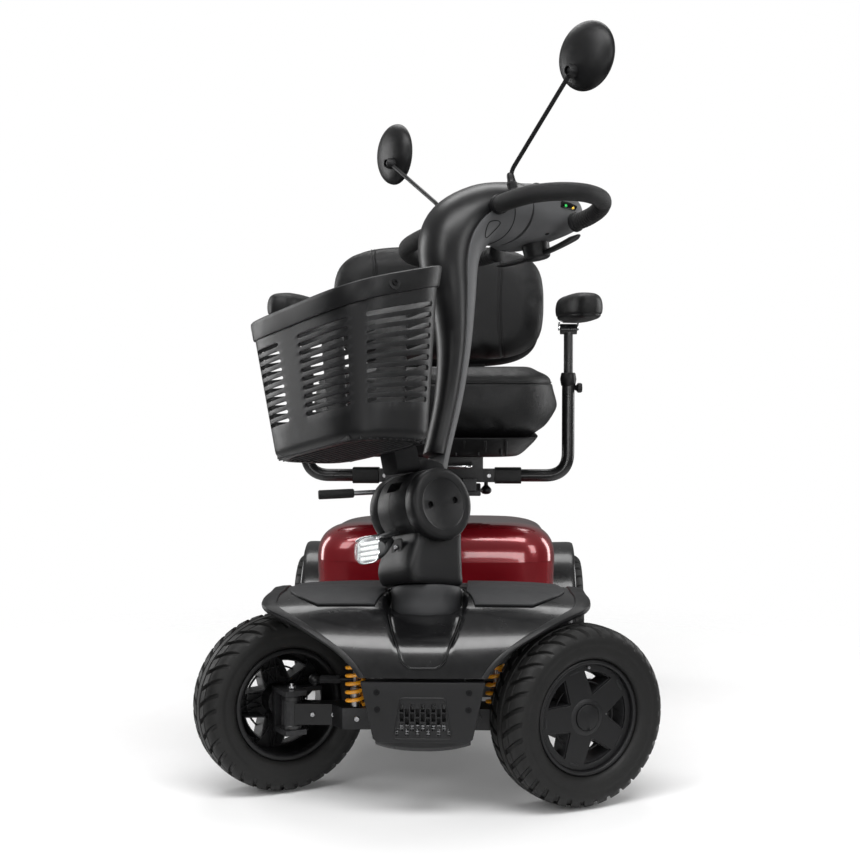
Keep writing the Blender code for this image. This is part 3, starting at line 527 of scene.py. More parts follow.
def ranged(tree, value, low, high, at_low, at_high):
    """A node's output that runs from at_low to at_high as a value goes from low to high."""
    node = tree.nodes.new("ShaderNodeMapRange")
    for key, number in (("From Min", low), ("From Max", high), ("To Min", at_low), ("To Max", at_high)):
        node.inputs[key].default_value = number
    tree.links.new(value, node.inputs["Value"])
    return node.outputs[0]


floor = bpy.data.objects.new("floor", turned([(2.6, 0.0), (0.0, 0.0)], axis=-Z, count=96))
pale = look("pale_floor", (0.86, 0.86, 0.86), 0.75, tint=0.01)
# the floor thins out with distance, so that it has no edge against the white studio
nodes, links = pale.node_tree.nodes, pale.node_tree.links
reach = nodes.new("ShaderNodeVectorMath")
reach.operation = "LENGTH"
links.new(nodes.new("ShaderNodeTexCoord").outputs["Object"], reach.inputs[0])
fade = ranged(pale.node_tree, reach.outputs["Value"], 0.7, 1.9, 1.0, 0.0)
links.new(fade, nodes["Principled BSDF"].inputs["Alpha"])
floor.data.materials.append(pale)
scene.collection.objects.link(floor)

# the studio is brighter above than below, and plain white where the camera looks past the object
world = bpy.data.worlds.new("studio")
world.use_nodes = True
scene.world = world
nodes, links = world.node_tree.nodes, world.node_tree.links
heading = nodes.new("ShaderNodeSeparateXYZ")
links.new(nodes.new("ShaderNodeTexCoord").outputs["Generated"], heading.inputs[0])
sky = ranged(world.node_tree, heading.outputs["Z"], -0.1, 0.9, 0.1, 0.36)
eye = nodes.new("ShaderNodeLightPath")
strength = nodes.new("ShaderNodeMix")
links.new(eye.outputs["Is Camera Ray"], strength.inputs[0])
links.new(sky, strength.inputs[2])
strength.inputs[3].default_value = 1.0
backdrop = nodes["Background"]
backdrop.inputs["Color"].default_value = (1.0, 1.0, 1.0, 1.0)
links.new(strength.outputs[0], backdrop.inputs["Strength"])


def softbox(name, at, target, wide, tall, power):
    """An area light that faces a point."""
    lamp = bpy.data.lights.new(name, "AREA")
    lamp.shape = "RECTANGLE"
    lamp.size = wide
    lamp.size_y = tall
    lamp.energy = power
    ob = bpy.data.objects.new(name, lamp)
    ob.location = at
    ob.rotation_euler = (Vector(target) - Vector(at)).to_track_quat("-Z", "Y").to_euler()
    scene.collection.objects.link(ob)


softbox("top_light", (0.0, -2.15, 3.8), (0.0, -0.2, 0.5), 3.8, 1.3, 125.0)
softbox("back_top_light", (0.0, 1.6, 3.6), (0.0, 0.2, 0.6), 3.0, 1.2, 45.0)
softbox("key_light", (-2.2, -3.4, 2.6), (0.0, -0.2, 0.6), 1.3, 1.9, 36.0)
softbox("fill_light", (2.7, -2.8, 1.7), (0.0, 0.0, 0.6), 1.0, 1.9, 34.0)
softbox("low_front_light", (0.3, -4.3, 0.5), (0.0, -0.6, 0.34), 3.0, 0.55, 32.0)
softbox("left_strip", (-2.8, 1.3, 1.2), (0.0, 0.0, 0.7), 0.9, 2.2, 36.0)
softbox("right_strip", (2.8, 1.3, 1.2), (0.0, 0.0, 0.7), 0.9, 2.2, 36.0)
scene.view_settings.view_transform = "Standard"

# ---------------------------------------------------------------- finishes of the frame's own nodes
KEPT = {"main_frame": POWDER, "battery_pack": SATIN, "transaxle": POWDER, "seat_post": TUBE,
        "seat_swivel_plate": POWDER, "seat_frame": POWDER, "pitman_arm": POWDER}
for side_name, _ in SIDES:
    KEPT[f"suspension_arm_{side_name}"] = POWDER
    KEPT[f"knuckle_{side_name}"] = POWDER
    KEPT[f"tie_rod_{side_name}"] = POWDER
for node, finish in KEPT.items():
    for number in range(len(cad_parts[node].data.materials)):
        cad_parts[node].data.materials[number] = finish

# ---------------------------------------------------------------- wheels
# across half the tread: from the middle, (place, radius, share of a lug groove, share of a ring groove)
TREAD = ((0.0058, 0.17, 0, 0), (0.007, 0.1699, 1, 0.7), (0.01, 0.1698, 1, 0.7), (0.0112, 0.1697, 1, 0),
         (0.019, 0.1692, 1, 0), (0.026, 0.1686, 1, 0), (0.027, 0.1685, 1, 0.35),
         (0.0292, 0.1682, 1, 0.35), (0.0302, 0.168, 1, 0), (0.0365, 0.1664, 1, 0),
         (0.042, 0.1637, 1, 0), (0.0468, 0.16, 0.95, 0), (0.05, 0.156, 0.7, 0),
         (0.0516, 0.1522, 0.25, 0))
SIDEWALL = ((0.0522, 0.149), (0.0524, 0.1482), (0.0525, 0.143), (0.0524, 0.1375), (0.0519, 0.1366),
            (0.0516, 0.131), (0.0508, 0.124), (0.0494, 0.1175), (0.0474, 0.1135), (0.044, 0.1108),
            (0.0405, 0.1092), (0.038, 0.1088))
LUGS = 34
GROOVE = 0.0058
LUG_STEPS = ((0.0, 0), (0.05, 1), (0.17, 1), (0.3, 1), (0.35, 0), (0.52, 0), (0.69, 0), (0.85, 0))


def tyre_shape():
    """The tyre about its own axle, which lies along X."""
    half = [(*row, True) for row in TREAD] + [(x, r, 0, 0, False) for x, r in SIDEWALL]
    rows = [(-x, r, d, f, t) for x, r, d, f, t in reversed(half)] + half
    rings = []
    for x, r, lug, ring_cut, _ in rows:
        sweep = 0.95 * min(abs(x) / 0.047, 1.15) ** 1.25
        ring = []
        for n in range(LUGS):
            for at, low in LUG_STEPS:
                a = math.tau * (n + at + sweep) / LUGS
                radius = r - GROOVE * max(ring_cut, lug * low)
                ring.append(Vector((x, -radius * math.cos(a), radius * math.sin(a))))
        rings.append(ring)
    return skin(rings, looped=True)


FACE_X = Matrix(((0, 0, 1, 0), (1, 0, 0, 0), (0, 1, 0, 0), (0, 0, 0, 1)))
BARREL = ((0.099, 0.033), (0.0995, 0.0405), (0.101, 0.042), (0.1062, 0.042), (0.108, 0.0405),
          (0.108, 0.02), (0.106, 0.012), (0.106, -0.03), (0.1083, -0.037), (0.1083, -0.0405),
          (0.1065, -0.042), (0.1, -0.042), (0.098, -0.0405), (0.0975, -0.02), (0.097, 0.028),
          (0.099, 0.033))
HUB = ((0.03, 0.03), (0.029, 0.005), (0.029, -0.006), (0.018, -0.006), (0.0123, -0.005), (0.0123, 0.02),
       (0.0, 0.02))
CAP = ((0.0, 0.0388), (0.0215, 0.0386), (0.0236, 0.038), (0.0243, 0.0368), (0.0243, 0.035),
       (0.0256, 0.035), (0.0256, 0.0362), (0.03, 0.036), (0.0345, 0.0338), (0.0345, 0.03))


def polar(radius, degrees):
    """The (x, y) at a radius and an angle."""
    a = math.radians(degrees)
    return (radius * math.cos(a), radius * math.sin(a))


def window_outline(turn, grow=0.0):
    """A rounded triangular window between two spokes; its corner points at the hub."""
    corners = [polar(0.0425 - grow, turn)]
    corners += [polar(0.0875 + grow, turn + a * (1 + grow * 12)) for a in (-21.5, -11, 0, 11, 21.5)]
    return outline_of(corners, 0.0035, 3)


WINDOWS = [72.0 * n for n in range(5)]
circle = [polar(0.0992, 360.0 * n / 90) for n in range(90)]
disc = holed(circle, [window_outline(a) for a in WINDOWS], 0.0055, 0.0012)
disc.transform(FACE_X @ Matrix.Translation((0, 0, 0.0308)))
wells = []
back_ribs = []
pads = []
for angle in WINDOWS:
    outer = [Vector((0.03, y, z)) for y, z in window_outline(angle, 0.0004)]
    inner = [Vector((-0.008, y * 0.97, z * 0.97)) for y, z in window_outline(angle, -0.0026)]
    wells.append(baked(skin([outer, inner], caps=False),
                       ("SOLIDIFY", {"thickness": 0.0022, "offset": 1.0})))
    spoke = angle + 36.0
    for low, high in ((-13, -13), (13, 13), (-10, 11), (11, -10)):
        a, b = polar(0.034, spoke + low * 1.5), polar(0.0965, spoke + high)
        back_ribs.append(tube([(0.0225, *a), (0.019, (a[0] + b[0]) / 2, (a[1] + b[1]) / 2),
                               (0.0225, *b)], 0.003, 6, flat=0.5, up=X))
    lines = [(-0.011, -0.0022), (0.011, -0.0022), (0.011, 0.0022), (-0.011, 0.0022)]
    turn = Matrix.Rotation(math.radians(spoke - 90.0), 4, "Z") @ Matrix.Translation((0, 0.089, 0.0338))
    pads.append(slab(lines, 0.0012, 0.0004, FACE_X @ turn))
ring_rib = tube([(0.0215, *polar(0.064, 360.0 * n / 60)) for n in range(60)], 0.0025, 6, True, 0.5)
rim_shape = merged(turned(flow(BARREL, 2), axis=X, count=96), turned(HUB, axis=X, count=48), disc,
                   *wells, *back_ribs, ring_rib, *pads)
cap_shape = cut(turned([*CAP, (0.0, 0.03)], axis=X, count=64),
                block((0.0368, -0.0034, -0.0232), (0.044, 0.0034, -0.0196), 0.0))
tyre = tyre_shape()
valve = tube([(0.02, 0.0, 0.092), (0.034, 0.0, 0.093), (0.0415, 0.0, 0.0935)], [0.0035, 0.0032, 0.0028],
             12)

for side_name, side in SIDES:
    mirror = Matrix.Diagonal((side, 1.0, 1.0, 1.0))
    front = Matrix.Translation((side * (KINGPIN_X + WHEEL_OUT), 0.0, WHEEL_R))
    rear = Matrix.Translation((side * (KINGPIN_X + WHEEL_OUT), WHEELBASE, WHEEL_R))
    for which, here in (("front", KNUCKLE[side_name][0] @ front), ("rear", SHIFT @ rear)):
        place = (Matrix(), f"wheel_{which}_{side_name}")
        spin = Matrix.Rotation(math.radians(13.0 if which == "rear" else 0.0), 4, "X")
        matrix = here @ mirror @ spin
        tag = f"{which}_{side_name}"
        add_piece(f"tyre_tread_{tag}", moved(tyre, matrix), RUBBER, place, f"tyre_{tag}", True, 30.0)
        add_piece(f"rim_shell_{tag}", moved(rim_shape, matrix), SATIN, place, f"rim_{tag}", True)
        add_piece(f"hub_cap_{tag}", moved(cap_shape, matrix), SATIN, place, f"rim_{tag}")
        add_piece(f"valve_{tag}", moved(valve, matrix), ZINC, place, f"rim_{tag}")

# ---------------------------------------------------------------- front suspension details
SPRING_X, SPRING_Y = 0.132, -0.037
COIL_TURNS, COIL_STEPS, COIL_R = 5, 28, 0.016
for side_name, side in SIDES:
    arm = (SHIFT, f"arm_{side_name}")
    barrel = turned([(0.0, 0.1285), (0.0175, 0.1285), (0.0203, 0.13), (0.0206, 0.135), (0.0192, 0.1365),
                     (0.0192, 0.182), (0.0206, 0.1835), (0.0206, 0.1895), (0.019, 0.1912),
                     (0.0, 0.1912)], (side * KINGPIN_X, 0, 0), Z, 40)
    add_piece(f"kingpin_sleeve_{side_name}", barrel, TUBE, arm, f"suspension_arm_{side_name}")
    fittings = [nut((side * KINGPIN_X, 0.0, 0.203), Z, 0.0085, 0.006)]
    fittings += [screw((side * KINGPIN_X + x, 0.0, 0.1175), -Z, 0.0042, 0.0025) for x in (-0.01, 0.01)]
    add_piece(f"kingpin_nuts_{side_name}", merged(*fittings), ZINC, KNUCKLE[side_name],
              f"knuckle_{side_name}")
    web = [screw((side * x, -0.0182, 0.158), -Y, 0.0045, 0.0028) for x in (0.175, 0.215)]
    web.append(screw((side * 0.128, -0.0515, 0.158), -Y, 0.005, 0.003))
    add_piece(f"arm_bolts_{side_name}", merged(*web), ZINC, arm, f"suspension_arm_{side_name}")
    rod_end = ROD_END[side_name]
    joint = [turned([(0.0, -0.0085), (0.0075, -0.008), (0.0115, -0.004), (0.012, 0.0), (0.011, 0.005),
                     (0.007, 0.0085), (0.005, 0.01), (0.0, 0.0102)], spot, Z, 28)
             for spot in (rod_end, rod_end - X * side * KINGPIN_X)]
    for near, far in ((0.01, 0.05), (0.205, 0.245)):
        joint.append(tube([rod_end - X * side * near, rod_end - X * side * far], 0.0085, 6))
    add_piece(f"rod_joints_{side_name}", merged(*joint), POWDER, ROD[side_name], f"tie_rod_{side_name}")
    coil = []
    for i in range(COIL_TURNS * COIL_STEPS + 1):
        a = math.tau * i / COIL_STEPS
        rise = 0.182 + 0.078 * i / (COIL_TURNS * COIL_STEPS)
        coil.append((side * SPRING_X + COIL_R * math.cos(a), SPRING_Y + COIL_R * math.sin(a), rise))
    # the spring's head is given to the frame and its foot to the swing arm, each with a point, but the
    # coil and damper are only fixed where they stand at rest and do not bend
    bends = ("chassis", f"arm_{side_name}", (side * SPRING_X, -0.557, 0.255),
             (side * SPRING_X, -0.557, 0.185))
    strut = (SHIFT, bends)
    add_piece(f"coil_{side_name}", tube(coil, 0.0036, 12), ORANGE, strut, f"spring_{side_name}", True)
    damper = turned([(0.0, 0.1795), (0.0088, 0.1795), (0.0088, 0.215), (0.0045, 0.2165), (0.0045, 0.26),
                     (0.0, 0.26)], (side * SPRING_X, SPRING_Y, 0), Z, 24)
    add_piece(f"damper_{side_name}", damper, ZINC, strut, f"spring_{side_name}")

# ---------------------------------------------------------------- front bodywork
# down the middle of the hood: (Y, Z, half width, side drop, bow)
HOOD = ((0.258, 0.1766, 0.24, 0.0, 0), (0.236, 0.19, 0.25, 0.0, 0), (0.2, 0.28, 0.27, 0.004, 0),
        (0.172, 0.358, 0.292, 0.008, 0), (0.14, 0.384, 0.3, 0.012, 0), (0.07, 0.389, 0.305, 0.015, 0),
        (0.0, 0.386, 0.308, 0.014, 0), (-0.06, 0.372, 0.3, 0.008, 0.012),
        (-0.1, 0.35, 0.245, 0.004, 0.006), (-0.128, 0.326, 0.195, 0.003, 0.004),
        (-0.148, 0.3, 0.152, 0.002, 0.004), (-0.16, 0.276, 0.126, 0.001, 0.004),
        (-0.166, 0.2585, 0.113, 0.0, 0.004))
FINE = 6
HOOD_ROWS = flow(HOOD, FINE)
CHANNEL = 0.026


def ease(t):
    """A smooth step from 0 to 1."""
    t = min(max(t, 0.0), 1.0)
    return t * t * (3.0 - 2.0 * t)


def hood_at(row, side):
    """A point of the hood: row is a place in HOOD, side runs from -1 to 1.

    A channel for the tiller's socket runs down its middle.
    """
    spot = min(max(row * FINE, 0.0), len(HOOD_ROWS) - 1.0)
    low = min(int(spot), len(HOOD_ROWS) - 2)
    share = spot - low
    y, z, half, drop, bow = (a + (b - a) * share for a, b in zip(HOOD_ROWS[low], HOOD_ROWS[low + 1]))
    edge = 0.081 - 0.034 * min(max((row - 6.75) / 4.3, 0.0), 1.0)
    inside = ease((edge - abs(half * side)) / 0.01)
    z -= CHANNEL * inside * ease((row - 5.2) / 0.6) * ease((10.2 - row) / 3.2)
    return Vector((half * side, y + bow * side * side, z - drop * side ** 4))


def hood_out(row, side):
    """The hood's outward direction at a point."""
    along = hood_at(row + 0.1, side) - hood_at(row - 0.1, side)
    across = hood_at(row, side + 0.02) - hood_at(row, side - 0.02)
    return across.cross(along).normalized() * -1.0


def over_hood(row, side, lift):
    """A point above the hood, square to it."""
    return hood_at(row, side) + hood_out(row, side) * lift


COLUMNS = 150
hood = skin([[hood_at(r / FINE, 2.0 * c / COLUMNS - 1.0) for c in range(COLUMNS + 1)]
             for r in range(len(HOOD_ROWS))], caps=False, closed=False)
hood = baked(hood, ("SOLIDIFY", {"thickness": 0.004, "offset": 0.0}))
hole = pin(0.0685, -0.16, 0.02, STEER_FOOT, STEER_AXIS, 64)
hood = cut(hood, hole)
add_piece("hood_shell", hood, GLOSS, BASE, "front_shroud", True)


def panel(rows, shares, lift, thick, bevel):
    """A raised panel on the hood; shares gives the sides of each row."""
    top, low = [], []
    for row, sides in zip(rows, shares):
        top.append([over_hood(row, s, lift + thick) for s in sides])
        low.append([over_hood(row, s, lift) for s in sides])
    rings = [t + list(reversed(b)) for t, b in zip(top, low)]
    return eased(skin(rings), bevel, 2, 50.0)


def spread(low, high, count):
    """Evenly spaced numbers from low to high, both ends included."""
    return [low + (high - low) * i / (count - 1) for i in range(count)]


tongue_rows = spread(6.75, 11.05, 22)
tongue_shares = []
for row in tongue_rows:
    t = (row - tongue_rows[0]) / (tongue_rows[-1] - tongue_rows[0])
    half = 0.068 + (0.034 - 0.068) * t
    if t > 0.86:
        half -= 0.012 * ((t - 0.86) / 0.14) ** 2.2
    width = hood_at(row, 1.0).x
    tongue_shares.append(spread(-half / width, half / width, 15))
add_piece("tongue_panel", panel(tongue_rows, tongue_shares, 0.0022, 0.0035, 0.0012), GLOSS, BASE,
          "shroud_tongue", True)
edge = [over_hood(r, s[-1], 0.0042) + X * 0.0022 for r, s in zip(tongue_rows, tongue_shares)]
edge += [Vector((-p.x, p.y, p.z)) for p in reversed(edge)]
add_piece("tongue_trim", tube(edge, 0.0013, 8), SATIN, BASE, "shroud_tongue")

PAD_SHARES = ((4, (0.26, 0.34, 0.5, 0.667, 0.75, 0.8)), (5, (0.26, 0.34, 0.5, 0.667, 0.833, 0.87)),
              (6, (0.27, 0.34, 0.5, 0.667, 0.78, 0.81)), (7, (0.31, 0.36, 0.5, 0.6, 0.64, 0.67)))
for side_name, side in SIDES:
    table = flow([(row, *shares) for row, shares in PAD_SHARES], 5)
    rows = [row[0] for row in table]
    shares = [sorted(side * s for s in row[1:]) for row in table]
    pad = panel(rows, shares, 0.0022, 0.0042, 0.0012)
    add_piece(f"deck_pad_top_{side_name}", pad, GREY, BASE, f"deck_pad_{side_name}", True)

    # a matt lip follows the wheel arch and hides the hood's cut edge
    rings = []
    for row in spread(3.0, 12.0, 70):
        wide = 0.905 + 0.02 * (row - 3.0) / 9.0
        out = hood_out(row, side * 0.97)
        rim = hood_at(row, side)
        lip = [over_hood(row, side * wide, 0.0021), over_hood(row, side * (wide + 0.004), 0.0046),
               over_hood(row, side * (wide + 1.0) / 2, 0.0058), rim + out * 0.0052,
               rim + out * 0.0025 + X * side * 0.003, rim - out * 0.002 + X * side * 0.003,
               rim - out * 0.006 + X * side * 0.001, rim - out * 0.0058 - X * side * 0.003,
               rim - out * 0.003 - X * side * 0.003]
        rings.append(lip)
    add_piece(f"arch_lip_{side_name}", skin(rings), SATIN, BASE, "front_shroud")

SOCKET = ((0.045, -0.09), (0.06, -0.09), (0.064, -0.085), (0.0655, -0.054), (0.0668, -0.03),
          (0.0655, -0.0262), (0.06, -0.0245), (0.052, -0.0245), (0.0505, -0.03), (0.045, -0.036))
add_piece("socket_ring", turned([*flow(SOCKET, 3), (0.045, -0.09)], STEER_FOOT, STEER_AXIS, 80), GREY,
          BASE, "steering_socket", True)
add_piece("socket_bearing", turned([(0.0, -0.048), (0.046, -0.048), (0.046, -0.031), (0.04, -0.0285),
                                    (0.0, -0.0285)], STEER_FOOT, STEER_AXIS, 48), ZINC, BASE,
          "steering_socket")
# a cowl stands round the back of the socket
cowl = []
for i in range(41):
    a = math.radians(-8.0 + 196.0 * i / 40)
    way = X * math.cos(a) + Y * math.sin(a)
    reach = 0.07 + 0.003 * abs(math.cos(a))
    middle = STEER_FOOT - STEER_AXIS * 0.031
    top = middle + way * reach
    deep = hood_at(5.0, 0.2).z - 0.002
    foot_at = Vector((top.x * 1.1, top.y + 0.004 * math.sin(a), deep))
    cowl.append([top, top + way * 0.0035 - Z * 0.002, foot_at + way * 0.004, foot_at])
add_piece("socket_cowl", eased(skin(cowl), 0.0008), SATIN, BASE, "steering_socket")

# bumper plate: a trapezoid with a grille of upright slots
BUMPER = ((-0.112, 0.252), (-0.108, 0.232), (-0.09, 0.15), (-0.082, 0.143), (0.082, 0.143),
          (0.09, 0.15), (0.108, 0.232), (0.112, 0.252))
slots = []
for column in range(11):
    x = (column - 5) * 0.0095
    for row in range(4):
        low = 0.156 + row * 0.017 + (0.0085 if column % 2 else 0.0)
        high = low + (0.014 if row else 0.012)
        if high > 0.221 or abs(x) > 0.05 - (low - 0.156) * 0.22:
            continue
        slots.append([(x - 0.003, low), (x + 0.003, low), (x + 0.003, high), (x - 0.003, high)])
plate_turn = Matrix.Translation((0.0, -0.1603, 0.0)) @ Matrix.Rotation(math.pi / 2, 4, "X")
plate = holed(BUMPER, slots, 0.016, 0.0012)
plate.transform(plate_turn)
add_piece("bumper_panel", plate, SATIN, BASE, "front_bumper_plate", True)
frame_outline = [(-0.052, 0.15), (0.052, 0.15), (0.04, 0.224), (-0.04, 0.224)]
surround = tube([Vector((x, -0.1686, z)) for x, z in outline_of(frame_outline, 0.006, 4)], 0.0014, 8,
                True)
add_piece("grille_frame", surround, SATIN, BASE, "front_bumper_plate")
mesh_bars = [tube([(-0.05, -0.1635, z), (0.05, -0.1635, z)], 0.0012, 8)
             for z in spread(0.153, 0.173, 5)]
mesh_bars += [tube([(x, -0.163, 0.151), (x, -0.163, 0.175)], 0.0012, 8)
              for x in spread(-0.0498, 0.0498, 21)]
add_piece("grille_mesh", merged(*mesh_bars), ZINC, BASE, "front_bumper_plate")
bolts = [screw((x, -0.1683, z), -Y, 0.0056, 0.002) for x, z in
         ((-0.083, 0.234), (0.083, 0.234), (-0.082, 0.203), (0.082, 0.203))]
add_piece("bumper_bolts", merged(*bolts), SHADE, BASE, "front_bumper_plate")
chin = []
for x in spread(-0.086, 0.086, 25):
    s = abs(x) / 0.086
    fall = 0.012 * (1 - s ** 2.4)
    chin.append([Vector((x, -0.164, 0.144)), Vector((x, -0.16 - 0.004 * (1 - s), 0.14 - fall * 0.6)),
                 Vector((x, -0.15, 0.135 - fall)), Vector((x, -0.138, 0.135 - fall * 0.9)),
                 Vector((x, -0.142, 0.144))])
add_piece("chin_lip", eased(skin(chin), 0.0008), SATIN, BASE, "front_bumper_plate")

# ribbed floor mat
MAT_TOP, RIB_TOP, RIB_LINES = 0.1744, 0.176, 105
lines = []
for i in range(RIB_LINES):
    x = -0.2585 + 0.517 * i / (RIB_LINES - 1)
    rise = RIB_TOP if i % 4 in (1, 2) else MAT_TOP
    lines.append([Vector((x, y, rise if 0.268 < y < 0.562 else MAT_TOP)) for y in
                  (0.261, 0.2675, 0.269, 0.56, 0.5615, 0.5695)]
                 + [Vector((x, 0.5695, 0.1604)), Vector((x, 0.261, 0.1604))])
add_piece("floor_mat", skin(lines), MAT, BASE, "floorboard", True, 25.0)

# ---------------------------------------------------------------- rear bodywork
REAR_MID = 0.862
# up the body: (Z, half width, half length, fall toward the back)
REAR_BODY = ((0.3722, 0.2685, 0.286, 0.0), (0.385, 0.268, 0.285, 0.005), (0.4, 0.2655, 0.283, 0.015),
             (0.417, 0.257, 0.275, 0.03), (0.432, 0.238, 0.257, 0.05), (0.4415, 0.208, 0.228, 0.06),
             (0.446, 0.16, 0.178, 0.06), (0.4475, 0.105, 0.118, 0.06), (0.448, 0.05, 0.056, 0.06))


def body_ring(z, a, b, fall, narrow=None):
    """A section of the rear body; narrow is its half width between the rear wheels."""
    ring = []
    for p in oval((0.0, REAR_MID, z), X, Y, a, b, 132, 7.0):
        if narrow:
            p.x *= (narrow + (a - narrow) * ease((0.815 - p.y) / 0.045)) / a
        p.x *= 1.0 + 0.05 * ease((0.8 - p.y) / 0.16)
        ring.append(p + Z * fall * (REAR_MID - p.y))
    return ring


red_body = skin([body_ring(*row) for row in flow(REAR_BODY, 4)])
post_hole = pin(0.034, 0.3, 0.5, (0.0, 0.62, 0.0), Z, 48)
add_piece("rear_body_top", cut(red_body, post_hole), RED, BASE, "rear_shroud", True)
skirt = [body_ring(z, a, 0.286, 0.0, narrow) for z, a, narrow in
         ((0.203, 0.262, 0.239), (0.206, 0.264, 0.241), (0.33, 0.267, 0.243), (0.345, 0.2675, 0.244),
          (0.358, 0.268, 0.262), (0.3718, 0.2685, 0.2685))]
skirt = baked(skin(skirt, caps=False), ("SOLIDIFY", {"thickness": 0.003, "offset": -1.0}))
add_piece("rear_body_skirt", skirt, RED, BASE, "rear_shroud")
post_boot = turned(flow([(0.0305, 0.448), (0.052, 0.448), (0.052, 0.452), (0.046, 0.456), (0.036, 0.46),
                         (0.0318, 0.47), (0.0308, 0.476), (0.0302, 0.476)], 3), (0.0, 0.62, 0.0), Z, 64)
add_piece("seat_post_boot", moved(post_boot, Matrix.Translation((0, 0, 0.01))), SATIN, BASE,
          "seat_post")
for side_name, side in SIDES:
    rings = []
    for i in range(61):
        a = math.radians(-5.0 + 190.0 * i / 60)
        way = Vector((0.0, math.cos(a), math.sin(a)))
        hub = Vector((0.0, WHEELBASE, WHEEL_R + 0.008))
        section = ((0.2738, 0.1865), (0.2738, 0.1915), (0.325, 0.1924), (0.336, 0.1918),
                   (0.3405, 0.1895), (0.3415, 0.186), (0.3385, 0.1862), (0.333, 0.1876), (0.3, 0.1872))
        rings.append([hub + way * r + X * side * x for x, r in section])
    add_piece(f"rear_mudguard_{side_name}", skin(rings), GLOSS, BASE, f"rear_fender_{side_name}",
              True, 50.0)
    lamp = [Vector((side * x, REAR_MID + 0.2865, z)) for x, z in
            ((0.115, 0.33), (0.215, 0.325), (0.222, 0.345), (0.205, 0.368), (0.12, 0.362))]
    lamp = [Vector(p) for p in rounded([tuple(p) for p in lamp], 0.012, 5, True)]
    middle = sum(lamp, Vector()) / len(lamp)
    lens = [[p - Y * 0.006 for p in lamp], [p + Y * 0.0005 for p in lamp],
            [middle + (p - middle) * 0.93 + Y * 0.0035 for p in lamp],
            [middle + (p - middle) * 0.6 + Y * 0.0048 for p in lamp]]
    add_piece(f"tail_lamp_{side_name}", skin(lens), TAIL, BASE, "rear_shroud")
hoop = rounded([(-0.18, 0.8988, 0.13), (-0.18, 1.12, 0.13), (-0.18, 1.205, 0.21), (0.18, 1.205, 0.21),
                (0.18, 1.12, 0.13), (0.18, 0.8988, 0.13)], 0.05, 12)
add_piece("rear_hoop", tube(hoop, 0.011, 28), TUBE, BASE, "rear_bumper", True)

# ---------------------------------------------------------------- steering neck
DRUM_R = 0.07
DRUM = Vector((0.0, 0.044, 0.547))


def foot(height, fore, x=0.0):
    """A point by the steering axis: up along it, forward of it and to the side."""
    return STEER_FOOT + STEER_AXIS * height + FORE * fore + X * x


NECK_ROWS = ((-0.0235, 0.012, 0.056, 0.058), (-0.0205, 0.012, 0.0582, 0.0605),
             (0.0, 0.016, 0.06, 0.064), (0.03, 0.0135, 0.0585, 0.061), (0.06, 0.008, 0.056, 0.056),
             (0.1, 0.0, 0.053, 0.05))
neck = skin([oval(foot(h, f), X, FORE, a, b, 120, 8.0) for h, f, a, b in flow(NECK_ROWS, 4)])
neck = cut(neck, pin(DRUM_R + 0.0008, -0.0452, 0.0452, DRUM, X, 64))
add_piece("neck_block", neck, SATIN, NECK, "tiller_neck", True)
CHEEK = ((0.0, 0.0438), (0.066, 0.0438), (0.0685, 0.0446), (0.0698, 0.0465), (0.07, 0.064),
         (0.0693, 0.069), (0.0672, 0.0727), (0.064, 0.0747), (0.06, 0.0755), (0.052, 0.0755),
         (0.05, 0.0752), (0.0488, 0.0738), (0.0478, 0.0733), (0.0, 0.0735))
for side_name, side in SIDES:
    cheek = turned(CHEEK, DRUM, X * side, 96)
    holes = [pin(0.0062, 0.065, 0.08, DRUM + Y * y + Z * 0.003, X * side, 24) for y in (-0.03, 0.03)]
    add_piece(f"neck_cheek_{side_name}", cut(cheek, *holes), SATIN, NECK, "tiller_neck")
    studs = [screw(DRUM + Y * y + Z * 0.003 + X * side * 0.0652, X * side, 0.005, 0.003)
             for y in (-0.03, 0.03)]
    add_piece(f"cheek_screws_{side_name}", merged(*studs), SHADE, NECK, "tiller_neck")

# headlight on its slotted bracket
lamp_at = foot(0.037, 0.114)
# from the bracket to the face: (place, rise, half width, half height)
LAMP = ((-0.025, 0.018, 0.015, 0.005), (-0.018, 0.016, 0.021, 0.01), (-0.006, 0.009, 0.027, 0.017),
        (0.01, 0.002, 0.0325, 0.0225), (0.024, -0.002, 0.0355, 0.025))


def lamp_ring(place, rise, half_a, half_b, count=64):
    """A section of the headlight, square to its beam."""
    return oval(lamp_at + FORE * place + STEER_AXIS * rise, X, STEER_AXIS, half_a, half_b, count, 3.6)


back = [lamp_ring(*row) for row in flow(LAMP, 5)]
back += [lamp_ring(0.024, -0.002, 0.034, 0.0235), lamp_ring(0.017, -0.002, 0.0325, 0.022)]
add_piece("lamp_housing", skin(back), CHROME, NECK, "headlight", True)
LAMP_FACE = ((0.02, 0.0338, 0.0233), (0.026, 0.0338, 0.0233), (0.033, 0.031, 0.021),
             (0.0375, 0.024, 0.0155), (0.039, 0.012, 0.008))
face = [lamp_ring(*row) for row in flow([(place, -0.002, a, b) for place, a, b in LAMP_FACE], 3)]
add_piece("lamp_lens", skin(face), LENS, NECK, "headlight")
dots = []
ribs = []
for row, z in enumerate((-0.0165, -0.007, 0.003, 0.0125)):
    for x in spread(-0.0265, 0.0265, 8 if row % 2 else 7):
        dots.append(turned([(0.0034, 0.0), (0.003, 0.003), (0.0018, 0.0046), (0.0, 0.005)],
                           lamp_at + FORE * 0.017 + STEER_AXIS * z + X * x, FORE, 14))
    level = lamp_at + FORE * 0.0195 + STEER_AXIS * (z + 0.0049)
    ribs.append(tube([level - X * 0.03, level + X * 0.03], 0.0009, 8))
add_piece("lamp_leds", merged(*dots), LED, NECK, "headlight")
add_piece("lamp_reflector_ribs", merged(*ribs[:-1]), CHROME, NECK, "headlight")
